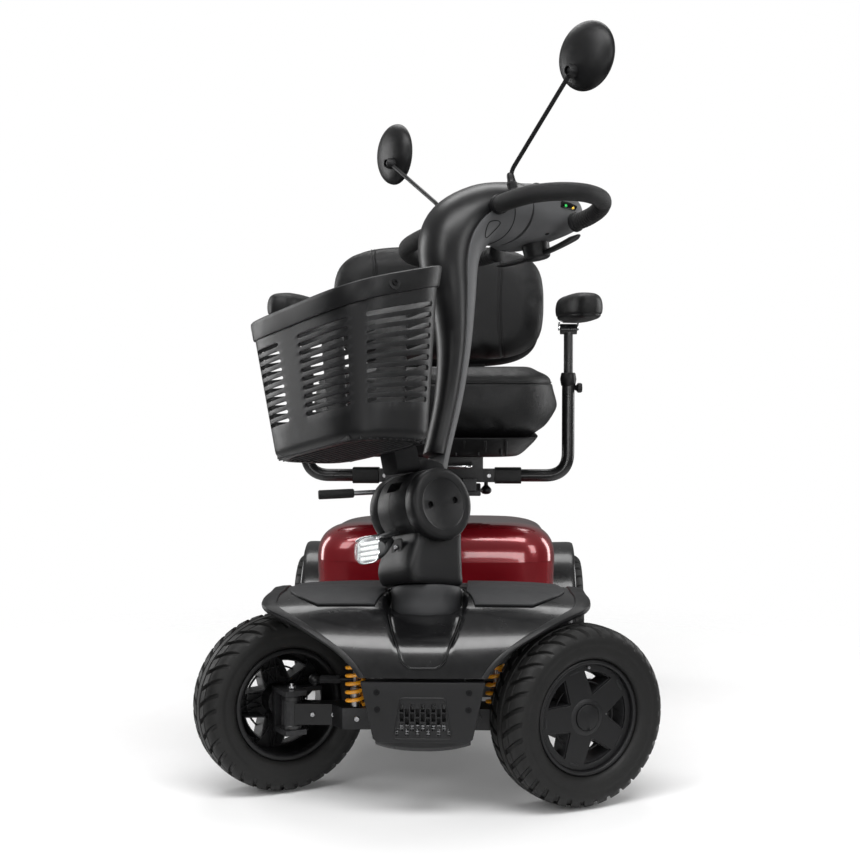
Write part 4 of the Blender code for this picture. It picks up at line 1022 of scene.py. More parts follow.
add_piece("lamp_bezel", tube(lamp_ring(0.0235, -0.002, 0.035, 0.0245), 0.0013, 8, True), CHROME, NECK,
          "headlight")
visor = []
for x in spread(-0.034, 0.034, 25):
    s = abs(x) / 0.034
    fall = 0.006 * s ** 3
    top = [lamp_at + FORE * d + STEER_AXIS * (h - fall) + X * x * w for d, h, w in
           ((0.03, 0.024, 1.0), (0.006, 0.029, 1.0), (-0.018, 0.036, 0.86), (-0.034, 0.042, 0.66))]
    visor.append(top + [p - STEER_AXIS * 0.0022 for p in reversed(top)])
add_piece("lamp_visor", eased(skin(visor), 0.0006), CHROME, NECK, "headlight")
outline = outline_of([(-0.016, -0.034), (0.016, -0.034), (0.016, 0.022), (-0.016, 0.022)], 0.006)
slot_line = outline_of([(-0.004, -0.026), (0.004, -0.026), (0.004, 0.006), (-0.004, 0.006)], 0.004)
bracket = holed(outline, [slot_line], 0.004, 0.0006)
frame_of = Matrix((X, STEER_AXIS, -FORE)).transposed().to_4x4()
bracket.transform(Matrix.Translation(foot(0.04, 0.0705)) @ frame_of)
add_piece("lamp_bracket", bracket, POWDER, NECK, "headlight")
clamp = merged(screw(foot(0.046, 0.0725), FORE, 0.0046, 0.003),
               screw(foot(0.022, 0.0725), FORE, 0.0046, 0.003))
add_piece("lamp_screws", clamp, ZINC, NECK, "headlight")

# ---------------------------------------------------------------- tiller
drum = turned([(0.0, -0.0446), (0.0655, -0.0446), (0.069, -0.0438), (0.0699, -0.042), (0.07, -0.006),
               (0.0692, -0.0054), (0.07, -0.0048), (0.07, 0.042), (0.069, 0.0438), (0.0655, 0.0446),
               (0.0, 0.0446)], DRUM, X, 96)
pocket_way = Vector((0.0, -0.72, 0.69)).normalized()
pocket = block((-0.02, -0.011, -0.016), (0.02, 0.011, 0.02), 0.002)
pocket.transform(Matrix.Translation(DRUM + pocket_way * 0.07)
                 @ pocket_way.to_track_quat("Z", "X").to_matrix().to_4x4()
                 @ Matrix.Rotation(math.pi / 2, 4, "Z"))
add_piece("tilt_drum_shell", cut(drum, pocket), SATIN, TILLER, "tiller_column", True)
collar = skin([oval((0.0, y, z), X, Vector((0, -0.9, 0.43)), a, b, 48, 3.0) for y, z, a, b in
               ((0.06, 0.575, 0.034, 0.03), (0.076, 0.606, 0.034, 0.03), (0.084, 0.622, 0.031, 0.027),
                (0.087, 0.628, 0.028, 0.024))])
add_piece("column_collar", collar, SHADE, TILLER, "tiller_column")

# (Y, Z, half width, half depth, lean) up the column to the head
COLUMN = ((0.078, 0.585, 0.028, 0.023, 24), (0.106, 0.64, 0.028, 0.023, 27),
          (0.167, 0.755, 0.03, 0.025, 24), (0.203, 0.85, 0.037, 0.03, 18),
          (0.224, 0.945, 0.047, 0.042, 8), (0.232, 1.02, 0.06, 0.056, 12),
          (0.264, 1.085, 0.075, 0.064, 42), (0.335, 1.122, 0.09, 0.06, 74),
          (0.405, 1.122, 0.096, 0.062, 98))
COLUMN_FINE = 7
JOIN_STEP = 51
HATCH_POINTS = 28
LEAN_UNIT = 300.0
COLUMN_ROWS = flow([(y, z, a, b, lean / LEAN_UNIT) for y, z, a, b, lean in COLUMN], COLUMN_FINE)


def column_half(step, front, gap=0.0006, count=34, grow=0.0):
    """Half of a column section: the front shell or the back of the column."""
    y, z, half, deep, lean = COLUMN_ROWS[step]
    lean = math.radians(lean * LEAN_UNIT)
    ahead = Vector((0.0, -math.cos(lean), math.sin(lean)))
    way = ahead if front else -ahead
    return oval(Vector((0.0, y, z)) + way * gap, X, way, half + grow, deep + grow, count, 2.1, 0.0,
                math.pi)


steps = len(COLUMN_ROWS)
back = skin([column_half(i, False, 0.0012) for i in range(steps)])
# the back of the column takes the paler grey, which carries painted light from the floor below
add_piece("column_back", eased(back, 0.0012, 2, 60.0), PALER_GREY_AND_PAINTED_FLOOR_LIGHT, TILLER, "tiller_column")
front = skin([column_half(i, True, 0.0006, grow=0.0008) for i in range(COLUMN_FINE, steps)])
add_piece("column_front", eased(front, 0.0016, 2, 60.0), SEMI, TILLER, "tiller_front_shell", True)
for side_name, side in SIDES:
    # a hatch's outline on the back of the column, below the console
    hatch = []
    for k in range(HATCH_POINTS):
        a = math.tau * k / HATCH_POINTS
        step = 44.0 + 2.4 * math.sin(a) + 0.6 * math.sin(2 * a)
        spot = 4.5 + 2.1 * math.cos(a)
        low = int(step)
        p = [column_half(low + n, False, 0.0012, grow=0.0002) for n in (0, 1)]
        if side < 0:
            p = [list(reversed(ring)) for ring in p]
        c = int(spot)
        a0 = p[0][c].lerp(p[0][c + 1], spot - c)
        a1 = p[1][c].lerp(p[1][c + 1], spot - c)
        hatch.append(a0.lerp(a1, step - low))
    add_piece(f"hatch_line_{side_name}", tube(hatch, 0.0009, 8, True), SHADE, TILLER, "tiller_column")
# the line where the back of the column meets its head
join = tube(column_half(JOIN_STEP, False, 0.0012, grow=0.0001), 0.001, 8)
add_piece("column_join", join, SHADE, TILLER, "tiller_column")
under_box = [oval((0.0, y, z), X, Z, a, b, 40, 5.0)
             for y, z, a, b in ((-0.012, 0.646, 0.02, 0.022), (-0.0095, 0.646, 0.024, 0.026),
                                (0.045, 0.644, 0.024, 0.026), (0.048, 0.644, 0.02, 0.022))]
add_piece("wiring_box", skin(under_box), SHADE, TILLER, "tiller_column")

# console
CONSOLE = ((0.4065, 1.184, 1.06, 0.096), (0.42, 1.18, 1.058, 0.099), (0.45, 1.17, 1.056, 0.104),
           (0.5, 1.151, 1.055, 0.11), (0.53, 1.134, 1.06, 0.104), (0.552, 1.114, 1.073, 0.086))
rings = [oval((0.0, y, (top + low) / 2), X, Z, half, (top - low) / 2, 84,
              2.1 + 1.9 * ease((y - 0.405) / 0.06)) for y, top, low, half in flow(CONSOLE, 5)]
# the console shell takes the paler grey, which carries painted light from the floor below
add_piece("console_shell", skin(rings), PALER_GREY_AND_PAINTED_FLOOR_LIGHT, TILLER, "console", True)
TOP_TILT = math.atan2(0.019, 0.05)
TOP_UP = Vector((0.0, math.sin(TOP_TILT), math.cos(TOP_TILT)))
TOP_BACK = Vector((0.0, math.cos(TOP_TILT), -math.sin(TOP_TILT)))


def console_top(x, y, lift=0.0):
    """A point on the console's sloping top, or lifted off it."""
    return Vector((x, y, 1.17 - (y - 0.45) * math.tan(TOP_TILT))) + TOP_UP * lift


def on_top(at):
    """The place of a shape that lies on the console's sloping top."""
    return Matrix.Translation(at) @ Matrix((X, TOP_BACK, TOP_UP)).transposed().to_4x4()


dash = outline_of([(-0.072, -0.02), (0.072, -0.02), (0.066, 0.026), (-0.066, 0.026)], 0.012)
dash_turn = on_top(console_top(0.0, 0.468))
add_piece("dash_panel", slab(dash, 0.0024, 0.0007, dash_turn), GLOSS, TILLER, "console")
lights = ((-0.054, GREEN_LED), (-0.044, GREEN_LED), (-0.034, AMBER_LED), (-0.024, RED_LED))
for number, (x, finish) in enumerate(lights):
    lamp = turned([(0.003, 0.0008), (0.0028, 0.0022), (0.0, 0.003)], console_top(x, 0.468), TOP_UP, 16)
    add_piece(f"gauge_lamp_{number}", lamp, finish, TILLER, "console")
BUTTON = ((0.0, 0.003), (0.0048, 0.003), (0.0056, 0.0022), (0.0056, 0.0008))
buttons = [turned(BUTTON, console_top(x, y), TOP_UP, 24) for x, y in
           ((-0.052, 0.484), (-0.036, 0.484), (0.036, 0.484), (0.03, 0.462))]
add_piece("dash_buttons", merged(*buttons), GREY, TILLER, "console")
for side_name, side in SIDES:
    strip = [Vector((side * x, y, z)) for x, y, z in
             ((0.1085, 0.47, 1.112), (0.1105, 0.49, 1.106), (0.11, 0.506, 1.101))]
    housing = tube(strip, [0.008, 0.0088, 0.0075], 16, flat=0.55)
    add_piece(f"signal_housing_{side_name}", housing, GLOSS, TILLER, "console")
    for number, finish in enumerate((GREEN_LED, AMBER_LED)):
        at = strip[0].lerp(strip[2], 0.25 + 0.5 * number) + X * side * 0.0045
        lamp = turned([(0.0042, -0.002), (0.004, 0.0006), (0.0, 0.0022)], at, X * side, 14)
        add_piece(f"signal_lamp_{side_name}_{number}", lamp, finish, TILLER, "console")
ports = [turned([(0.0, 0.001), (0.0042, 0.001), (0.0052, 0.0), (0.0052, -0.002)], spot, way, 20)
         for spot, way in ((Vector((0.07, 0.452, 1.06)), Vector((0.25, -0.2, -1)).normalized()),
                           (Vector((-0.07, 0.452, 1.06)), Vector((-0.25, -0.2, -1)).normalized()),
                           (Vector((0.078, 0.52, 1.062)), -Z), (Vector((-0.078, 0.52, 1.062)), -Z))]
add_piece("console_ports", merged(*ports), SHADE, TILLER, "console")

TRIM = [Vector(p) for p in ((0.0, 0.2525, 1.1205), (0.0, 0.27, 1.142), (0.0, 0.2905, 1.16))]
trim_radii = [0.006 + 0.006 * math.sin(math.pi * i / 10) for i in range(11)]
add_piece("head_trim", tube(flow(TRIM, 5), trim_radii, 16, flat=0.45, up=X), CHROME, TILLER,
          "tiller_front_shell")

# handle loops of black foam, with finger ridges on the grips
LOOP = ((0.0985, 0.31, 1.118), (0.15, 0.292, 1.112), (0.205, 0.3, 1.108), (0.25, 0.34, 1.1),
        (0.264, 0.392, 1.091), (0.248, 0.445, 1.081), (0.205, 0.476, 1.073), (0.155, 0.484, 1.068),
        (0.1305, 0.482, 1.068))
for side_name, side in SIDES:
    path = [Vector((x * side, y, z)) for x, y, z in flow(LOOP, 20)]
    radii = []
    run = 0.0
    for i, p in enumerate(path):
        run += (p - path[i - 1]).length if i else 0.0
        share = i / (len(path) - 1)
        grip = min(max((share - 0.6) / 0.06, 0.0), 1.0) * min(max((0.97 - share) / 0.04, 0.0), 1.0)
        radii.append(0.0182 - grip * (0.0004 + 0.0009 * (1 + math.cos(math.tau * run / 0.0075))))
    add_piece(f"loop_grip_{side_name}", tube(path, radii, 32), FOAM, TILLER, f"handle_loop_{side_name}",
              True)
    sockets = [tube([path[0] - X * side * 0.006, path[2]], 0.0205, 32),
               tube([path[-1] - X * side * 0.006, path[-3]], 0.0205, 32)]
    add_piece(f"loop_socket_{side_name}", eased(merged(*sockets), 0.0015), SATIN, TILLER, "console")

# throttle paddle, knob and key
paddle = []
for x in spread(-0.129, 0.129, 41):
    s = abs(x) / 0.129
    deep = 0.009 + 0.005 * s ** 1.5 - 0.008 * max(s - 0.9, 0) / 0.1
    thick = 0.005 - 0.0024 * max(s - 0.85, 0) / 0.15
    paddle.append(oval((x, 0.48 + 0.002 * s, 1.03 + 0.01 * s * s), Y, Z, deep, thick, 20, 3.0))
hub = turned([(0.0, 1.0215), (0.023, 1.0215), (0.0265, 1.024), (0.028, 1.029), (0.03, 1.054),
              (0.0, 1.054)], (0.0, 0.48, 0.0), Z, 40)
add_piece("throttle_paddle", merged(skin(paddle), hub), SATIN, (STEERED, "throttle"), "throttle_lever",
          True)
knob_at = console_top(0.0, 0.475, 0.0015)
knob = turned([(0.0, 0.015), (0.009, 0.015), (0.0105, 0.0138), (0.0112, 0.011), (0.0122, 0.003),
               (0.015, 0.0018), (0.015, 0.0), (0.0, 0.0)], knob_at, TOP_UP, 48)
flutes = []
for n in range(14):
    a = math.tau * n / 14
    way = X * math.cos(a) + TOP_BACK * math.sin(a)
    flutes.append(pin(0.0014, -0.002, 0.02, knob_at + way * 0.0128 + TOP_UP * 0.004, TOP_UP, 8))
add_piece("speed_dial", cut(knob, *flutes), SATIN, (STEERED, "knob"), "speed_knob", True)
mark = block((-0.0006, -0.0098, 0.0146), (0.0006, -0.0035, 0.0154), 0.0002)
mark.transform(on_top(knob_at))
add_piece("dial_mark", mark, ZINC, (STEERED, "knob"), "speed_knob")
key_at = console_top(0.05, 0.475, 0.0006)
barrel = turned([(0.0, 0.0035), (0.0065, 0.0035), (0.008, 0.0028), (0.008, 0.0), (0.0, 0.0)], key_at,
                TOP_UP, 32)
blade = block((-0.0009, -0.0048, 0.003), (0.0009, 0.0048, 0.0115), 0.0005)
blade.transform(on_top(key_at))
add_piece("key_barrel", merged(barrel, blade), CHROME, (STEERED, "key"), "key_switch", True)

# ---------------------------------------------------------------- mirrors
MIRROR_BASE = Vector((0.118, 0.335, 1.136))
MIRROR_AT = Vector((0.318, 0.404, 1.351))
MIRROR_FACE = Vector((0.1, -1.0, 0.12)).normalized()
DISH = ((0.0, 0.024), (0.015, 0.0236), (0.03, 0.0218), (0.043, 0.0186), (0.054, 0.014), (0.062, 0.0085),
        (0.0665, 0.003), (0.0683, -0.003), (0.0682, -0.0062), (0.0668, -0.008), (0.064, -0.008),
        (0.0632, -0.0066))
for side_name, side in SIDES:
    flip = Matrix.Diagonal((side, 1.0, 1.0))
    base = flip @ MIRROR_BASE
    centre = flip @ MIRROR_AT
    out = flip @ MIRROR_FACE
    ball = flip @ (MIRROR_AT + Vector((-0.02, 0.0, -0.03))) + out * 0.03
    stalk = (STEERED, f"stalk_{side_name}")
    head = (STEERED, f"mirror_{side_name}")
    path = rounded([base, base + Z * 0.04, ball + (base + Z * 0.04 - ball) * 0.06, ball], 0.018, 8)
    add_piece(f"mirror_arm_{side_name}", tube(path, 0.0045, 20), SATIN, stalk,
              f"mirror_stalk_{side_name}", True)
    boot = turned(flow([(0.013, -0.01), (0.0135, 0.002), (0.0125, 0.006), (0.0105, 0.0075),
                        (0.0108, 0.019), (0.009, 0.0215), (0.0078, 0.033), (0.0058, 0.04),
                        (0.0046, 0.041)], 2), base, Z, 32)
    add_piece(f"mirror_boot_{side_name}", boot, SATIN, TILLER, "tiller_front_shell")
    ball_joint = turned([(0.0, -0.0105), (0.007, -0.008), (0.0098, -0.003), (0.01, 0.002),
                         (0.008, 0.007), (0.0, 0.01)], ball, Z, 28)
    cup = turned([(0.0075, 0.012), (0.0105, 0.006), (0.0115, -0.004), (0.011, -0.014)], ball, out, 28)
    add_piece(f"mirror_joint_{side_name}", ball_joint, SATIN, stalk, f"mirror_stalk_{side_name}")
    add_piece(f"mirror_cup_{side_name}", baked(cup, ("SOLIDIFY", {"thickness": 0.0015})), SATIN, head,
              f"mirror_head_{side_name}")
    shell = turned([*flow(DISH, 3), (0.0, -0.0066)], centre, out, 96)
    add_piece(f"mirror_shell_{side_name}", shell, SATIN, head, f"mirror_head_{side_name}", True)
    glass = turned([(0.0, -0.0074), (0.03, -0.0072), (0.05, -0.0068), (0.0634, -0.0062),
                    (0.0634, -0.005), (0.0, -0.005)], centre, out, 96)
    add_piece(f"mirror_face_{side_name}", glass, GLASS, head, f"mirror_head_{side_name}")

# ---------------------------------------------------------------- basket
BASKET = (STEERED, "basket_body")
FLOOR = (-0.094, 0.674, 0.158, 0.094, 0.16)
RIM = (-0.05, 0.938, 0.197, 0.12, -0.09)
LIP = (-0.042, 0.972, 0.204, 0.126, -0.09)


def basket_at(angle, row, inset=0.0):
    """A point of the basket wall: row is (centre Y, Z, half width, half depth, slope)."""
    centre, z, a, b, slope = row
    c, s = math.cos(angle), math.sin(angle)
    x = math.copysign(abs(c) ** 0.5, c) * (a - inset)
    y = math.copysign(abs(s) ** 0.5, s) * (b - inset)
    return Vector((x, centre + y, z - slope * y))


def wall_row(v):
    """The basket's section at a share of its height; its foot is tucked in."""
    row = [f + (r - f) * v for f, r in zip(FLOOR, RIM)]
    if v < 0.07:
        tuck = 0.016 * (1 - math.sqrt(max(1 - (1 - v / 0.07) ** 2, 0.0)))
        row[2] -= tuck
        row[3] -= tuck
    return row


def even_angles(low, high, count):
    """Angles from low to high, evenly spaced along the rim."""
    fine = [low + (high - low) * i / 400 for i in range(401)]
    spots = [basket_at(math.radians(a), RIM) for a in fine]
    run = [0.0]
    for p, q in zip(spots, spots[1:]):
        run.append(run[-1] + (p - q).length)
    picked = []
    k = 0
    for i in range(count):
        goal = run[-1] * i / count
        while run[k + 1] < goal:
            k += 1
        picked.append(math.radians(fine[k] + (fine[k + 1] - fine[k])
                                   * (goal - run[k]) / (run[k + 1] - run[k])))
    return picked


# groups of slots round the wall, in degrees: the rest of the wall is plain
GROUPS = ((-134.5, -95.0), (-89.8, -50.0), (-27.0, 22.0), (52.0, 86.0), (94.0, 128.0), (158.0, 207.0))
angles = []
slotted = []
for n, (low, high) in enumerate(GROUPS):
    nose = even_angles(low, high, 60)[1] - math.radians(low)
    inside = [math.radians(low), math.radians(low) + nose]
    inside += [a for a in even_angles(low, high, 26) if a > inside[1] + nose
               and a < math.radians(high) - 2 * nose]
    inside.append(math.radians(high) - nose)
    slotted.append((len(angles), len(angles) + len(inside)))
    angles += inside
    after = GROUPS[(n + 1) % len(GROUPS)][0] + (360.0 if n == len(GROUPS) - 1 else 0.0)
    angles += even_angles(high, after, max(int((after - high) / 4.0), 5))
SLOT_ROWS = 10
PITCH = 0.068
heights = [0.0, 0.006, 0.016, 0.032, 0.055, 0.08, 0.12, 0.18]
slot_at = []
for n in range(SLOT_ROWS):
    low = 0.25 + PITCH * n
    slot_at.append(len(heights))
    heights += [low, low + 0.01, low + 0.024, low + 0.034, low + 0.051]
heights += [0.95, 0.985]
count = len(angles)
points = [basket_at(a, wall_row(v)) for v in heights for a in angles]
faces = []
for r in range(len(heights) - 1):
    slot_row = next((r - s for s in slot_at if 0 <= r - s < 3), None)
    for c in range(count):
        d = (c + 1) % count
        corners = [r * count + c, r * count + d, (r + 1) * count + d, (r + 1) * count + c]
        group = next((g for g in slotted if g[0] <= c < g[1]), None)
        if slot_row is None or group is None:
            faces.append(corners)
            continue
        # the end cells keep one triangle, so the slot's ends are rounded
        first, last = c == group[0], c == group[1] - 1
        if slot_row == 0 and first:
            faces.append([corners[0], corners[1], corners[3]])
        elif slot_row == 0 and last:
            faces.append([corners[0], corners[1], corners[2]])
        elif slot_row == 2 and first:
            faces.append([corners[0], corners[2], corners[3]])
        elif slot_row == 2 and last:
            faces.append([corners[1], corners[2], corners[3]])
wall = baked(mesh_of(points, faces),
             ("SOLIDIFY", {"thickness": 0.0038, "offset": -1.0, "use_even_offset": True}),
             ("BEVEL", {"width": 0.0009, "segments": 2, "limit_method": "ANGLE", "angle_limit": 0.7}))
add_piece("basket_wall", wall, SATIN, BASKET, "basket", True)

BAND = ((0.0006, 0.0), (-0.0026, 0.02), (-0.0034, 0.1), (-0.003, 0.8), (-0.0022, 0.94), (0.0004, 1.0),
        (0.0036, 0.985), (0.005, 0.93), (0.0052, 0.1), (0.0046, 0.0))
band = []
turns = even_angles(0.0, 360.0, 150)
for a in turns:
    ring = []
    for inset, v in BAND:
        row = [r + (t - r) * v for r, t in zip(RIM, LIP)]
        row[1] -= 0.004 * (1 - v)
        ring.append(basket_at(a, row, inset))
    band.append(ring)
add_piece("basket_rim", skin(band, looped=True), SATIN, BASKET, "basket")

def floor_z(y):
    """The height of the basket's floor, which slopes."""
    return FLOOR[1] - FLOOR[4] * (y - FLOOR[0])


slats = []
for y in spread(-0.082, 0.082, 13):
    reach = 0.15 * (1 - abs(y / 0.0935) ** 4) ** 0.25
    here = FLOOR[0] + y
    low = Vector((0, here, floor_z(here) + 0.001))
    ring = rounded([(0, -0.003, 0.0), (0, 0.003, 0.0), (0, 0.0022, 0.009), (0, -0.0022, 0.009)], 0.001,
                   2, True)
    slats.append(skin([[low + p + X * x for p in ring] for x in (-reach, reach)]))
for x in (-0.105, -0.052, 0.0, 0.052, 0.105):
    reach = 0.087 * (1 - abs(x / 0.1575) ** 4) ** 0.25
    ends = [Vector((x, FLOOR[0] + y, floor_z(FLOOR[0] + y) + 0.006)) for y in (-reach, reach)]
    slats.append(tube(ends, 0.0035, 8, up=X))
border = [[basket_at(a, [FLOOR[0], FLOOR[1] + z, FLOOR[2] - 0.014, FLOOR[3] - 0.014, FLOOR[4]], i)
           for i, z in ((-0.003, 0.0), (0.008, 0.0002), (0.008, 0.008), (-0.003, 0.008))]
          for a in turns]
slats.append(eased(skin(border, looped=True), 0.0008))
add_piece("basket_floor", merged(*slats), SATIN, BASKET, "basket")
for side_name, side in SIDES:
    a = math.radians(-3.0) if side > 0 else math.radians(183.0)
    mid = [r + (t - r) * 0.45 for r, t in zip(RIM, LIP)]
    at = basket_at(a, mid, -0.0034)
    tab = turned([(0.013, -0.003), (0.0125, 0.0006), (0.01, 0.001), (0.0, 0.001)], at, X * side, 32)
    add_piece(f"basket_tab_{side_name}", tab, SATIN, BASKET, "basket")
    add_piece(f"basket_screw_{side_name}", screw(at + X * side * 0.001, X * side, 0.0062, 0.003), SHADE,
              BASKET, "basket")

# ---------------------------------------------------------------- seat
SEAT_MID = 0.64
SEAM_Z = 0.7845
BACK_MID = 0.976
PAN = ((0.62, 0.19, 0.175), (0.623, 0.196, 0.18), (0.64, 0.215, 0.195), (0.656, 0.23, 0.205),
       (0.6635, 0.2345, 0.2075), (0.664, 0.23, 0.203))
pan = skin([oval((0.0, SEAT_MID, z), X, Y, a, b, 96, 5.0) for z, a, b in flow(PAN, 3)])
pan_ribs = []
for x in spread(-0.15, 0.15, 7):
    pan_ribs.append(block((x - 0.002, SEAT_MID - 0.188, 0.6225), (x + 0.002, SEAT_MID + 0.185, 0.64),
                          0.0008))
for x in spread(-0.16, 0.16, 8):
    pan_ribs.append(tube([(x, SEAT_MID - 0.176, 0.6235), (x, SEAT_MID - 0.193, 0.64),
                          (x, SEAT_MID - 0.206, 0.658)], 0.003, 6, flat=0.6, up=X))
add_piece("pan_shell", merged(pan, *pan_ribs), SATIN, SEAT, "seat_pan", True)
bail = rounded([(-0.085, 0.56, 0.606), (-0.085, 0.452, 0.6), (0.085, 0.452, 0.6), (0.085, 0.56, 0.606)],
               0.022, 8)
add_piece("slide_bail", tube(bail, 0.0035, 14), CHROME, SEAT, "seat_frame")
fixings = [screw((side * 0.08, y, 0.5702), Z, 0.006, 0.0035, False) for side in (-1, 1)
           for y in (0.53, 0.71, 0.82)]
fixings += [screw((x, 0.7343, 0.56), -Y, 0.005, 0.003) for x in (-0.125, -0.06, 0.06, 0.125)]
fixings += [screw((side * 0.095, 0.8838, z), -Y, 0.0055, 0.0032, False) for side in (-1, 1)
            for z in (0.62, 0.75)]
add_piece("seat_bolts", merged(*fixings), ZINC, SEAT, "seat_frame")
for side_name, side in SIDES:
    sleeve = skin([oval((side * x, 0.75, 0.56), Y, Z, r, r, 40, 6.0) for x, r in
                   ((0.1385, 0.018), (0.1395, 0.0192), (0.201, 0.0192), (0.202, 0.0182))])
    bore = pin(0.0156, 0.1, 0.22, (0, 0.75, 0.56), X * side, 32)
    add_piece(f"receiver_collar_{side_name}", cut(sleeve, bore), SATIN, SEAT, "seat_frame")
    grip = turned(flow([(0.0, 0.03), (0.0075, 0.029), (0.0125, 0.024), (0.013, 0.018), (0.0085, 0.012),
                        (0.005, 0.008), (0.005, 0.0)], 2), (side * 0.118, 0.75, 0.5445), -Z, 28)
    add_piece(f"width_knob_{side_name}", grip, SATIN, SEAT, "seat_frame")

lever_at = Vector((-0.107, 0.55, 0.5365))
way = Vector((-0.15, -0.02, -0.006))
rod_path = [lever_at + way * t for t in (0.0, 0.3, 0.55)]
grip_path = [lever_at + way * t for t in (0.5, 0.515, 0.6, 0.8, 1.02, 1.035)]
RELEASE = (SHIFT, "release")
add_piece("lever_rod", tube(rod_path, 0.0055, 16), ZINC, RELEASE, "swivel_lever", True)
add_piece("lever_sleeve", tube(grip_path, [0.008, 0.0102, 0.0106, 0.0106, 0.0106, 0.0085], 24), FOAM,
          RELEASE, "swivel_lever")


CLOTH_FRAMES = 20
CLOTH = {"quality": 5, "mass": 0.3, "use_pressure": True, "tension_stiffness": 20.0,
         "compression_stiffness": 20.0, "bending_stiffness": 1.5}


def puffed(rings, voxel, cap, pressure=4.0):
    """A stuffed piece: its closed form is remeshed and blown up as cloth, by cap at most."""
    data = skin(rings)
    data = baked(data, ("REMESH", {"mode": "VOXEL", "voxel_size": voxel, "use_smooth_shade": True}))
    rest = [v.co.copy() for v in data.vertices]
    ob = bpy.data.objects.new("stuffing", data)
    scene.collection.objects.link(ob)
    mod = ob.modifiers.new("cloth", "CLOTH")
    for key, value in CLOTH.items():
        setattr(mod.settings, key, value)
    mod.settings.uniform_pressure_force = pressure
    mod.settings.effector_weights.gravity = 0.0
    mod.point_cache.frame_start = 1
    mod.point_cache.frame_end = CLOTH_FRAMES
    for number in range(1, CLOTH_FRAMES + 1):
        scene.frame_set(number)
    swollen = final_mesh(ob)
    bpy.data.objects.remove(ob)
    for vertex, start in zip(swollen.vertices, rest):
        step = vertex.co - start
        if step.length > cap:
            step *= cap / step.length
        vertex.co = start + step
    data = swollen
    scene.frame_set(1)
    return baked(data, ("SMOOTH", {"factor": 0.5, "iterations": 10}),
                 ("SUBSURF", {"levels": 1, "render_levels": 1}))


def creased(data, lines, width, depth):
    """Presses sewn lines into a puffed mesh; each line is a function giving the distance to it."""
    normals = [v.normal.copy() for v in data.vertices]
    for vertex, normal in zip(data.vertices, normals):
        near = min(abs(line(vertex.co)) for line in lines)
        vertex.co -= normal * depth * math.exp(-(near / width) ** 2)
    return data


CUSHION_POWER = 3.4
CUSHION = ((0.665, 0.215, 0.184), (0.671, 0.24, 0.2), (0.69, 0.263, 0.214), (0.72, 0.275, 0.221),
           (0.757, 0.279, 0.223), (0.784, 0.2775, 0.222), (0.802, 0.27, 0.216), (0.812, 0.252, 0.2))
rings = [oval((0.0, SEAT_MID, z), X, Y, a, b, 120, CUSHION_POWER) for z, a, b in flow(CUSHION, 4)]
cushion = puffed(rings, 0.006, 0.01)


def top_seam(p):
    """Distance to the seam round the top panel, where the side wall meets it."""
    share = (abs(p.x) / 0.225) ** CUSHION_POWER + (abs(p.y - SEAT_MID) / 0.178) ** CUSHION_POWER
    return p.z - SEAM_Z if share > 1.0 else 1.0


def dish(p):
    """A shallow hollow where the rider sits."""
    if p.z < 0.77:
        return 0.0
    u, v = p.x / 0.18, (p.y - 0.66) / 0.15
    return 0.009 * math.exp(-(u * u + v * v))


cushion = creased(cushion, (top_seam,), 0.0035, 0.0024)
for vertex in cushion.vertices:
    vertex.co.z -= dish(vertex.co)
    vertex.co.z = max(vertex.co.z, 0.6645)
seat_top = add_piece("seat_cushion_vinyl", cushion, VINYL, SEAT, "seat_cushion", True, 80.0)


def on_surface(piece, points, inward):
    """The points, each moved along its own direction until it meets the piece."""
    piece_world = piece.matrix_world.inverted()
    found = []
    for p, way in zip(points, inward):
        start = SHIFT @ (p - way * 0.06)
        hit, spot, normal, _ = piece.ray_cast(piece_world @ start, way, distance=0.14)
        found.append((spot, normal) if hit else (SHIFT @ p, -way))
    return found


def piping(name, piece, points, inward, radius, body, slot):
    """A welt laid along a seam of a puffed piece."""
    path = [spot + normal * radius * 0.3 for spot, normal in on_surface(piece, points, inward)]
    add_piece(name, tube(path, radius, 10, True), VINYL, (Matrix(), body), slot, crease=80.0)


bpy.context.view_layer.update()
ring = oval((0.0, SEAT_MID, SEAM_Z), X, Y, 0.262, 0.21, 240, CUSHION_POWER)
inward = [(Vector((0.0, SEAT_MID, SEAM_Z)) - p).normalized() for p in ring]
piping("cushion_piping", seat_top, ring, inward, 0.0018, "seat", "seat_cushion")

# backrest
BACKREST = (SHIFT, "backrest")
SHELL = ((0.895, 0.234, 0.134), (0.8975, 0.244, 0.142), (0.905, 0.252, 0.15), (0.912, 0.248, 0.147),
         (0.917, 0.236, 0.136), (0.918, 0.22, 0.122))
shell = skin([oval((0.0, y, 0.97), X, Z, a, b, 110, 4.0) for y, a, b in flow(SHELL, 3)])
hinge = turned([(0.0, -0.126), (0.0105, -0.126), (0.0122, -0.1245), (0.0122, 0.1245), (0.0105, 0.126),
                (0.0, 0.126)], (0.0, 0.905, 0.8), X, 32)
straps = [block((s * 0.095 - 0.02, 0.898, 0.795), (s * 0.095 + 0.02, 0.912, 0.84), 0.001)
          for s in (-1, 1)]
add_piece("back_cover", merged(shell, hinge, *straps), SATIN, BACKREST, "backrest_shell", True)
back_bolts = [screw((s * 0.095 + x, 0.9178, z), Y, 0.0055, 0.003, False)
              for s in (-1, 1) for x, z in ((-0.012, 0.9), (0.012, 0.9), (0.0, 1.03))]
add_piece("back_cover_screws", merged(*back_bolts), ZINC, BACKREST, "backrest_shell")

BACK = ((0.832, 0.205, 0.098), (0.836, 0.238, 0.124), (0.846, 0.256, 0.14), (0.862, 0.264, 0.146),
        (0.88, 0.262, 0.144), (0.889, 0.248, 0.134), (0.892, 0.225, 0.118))


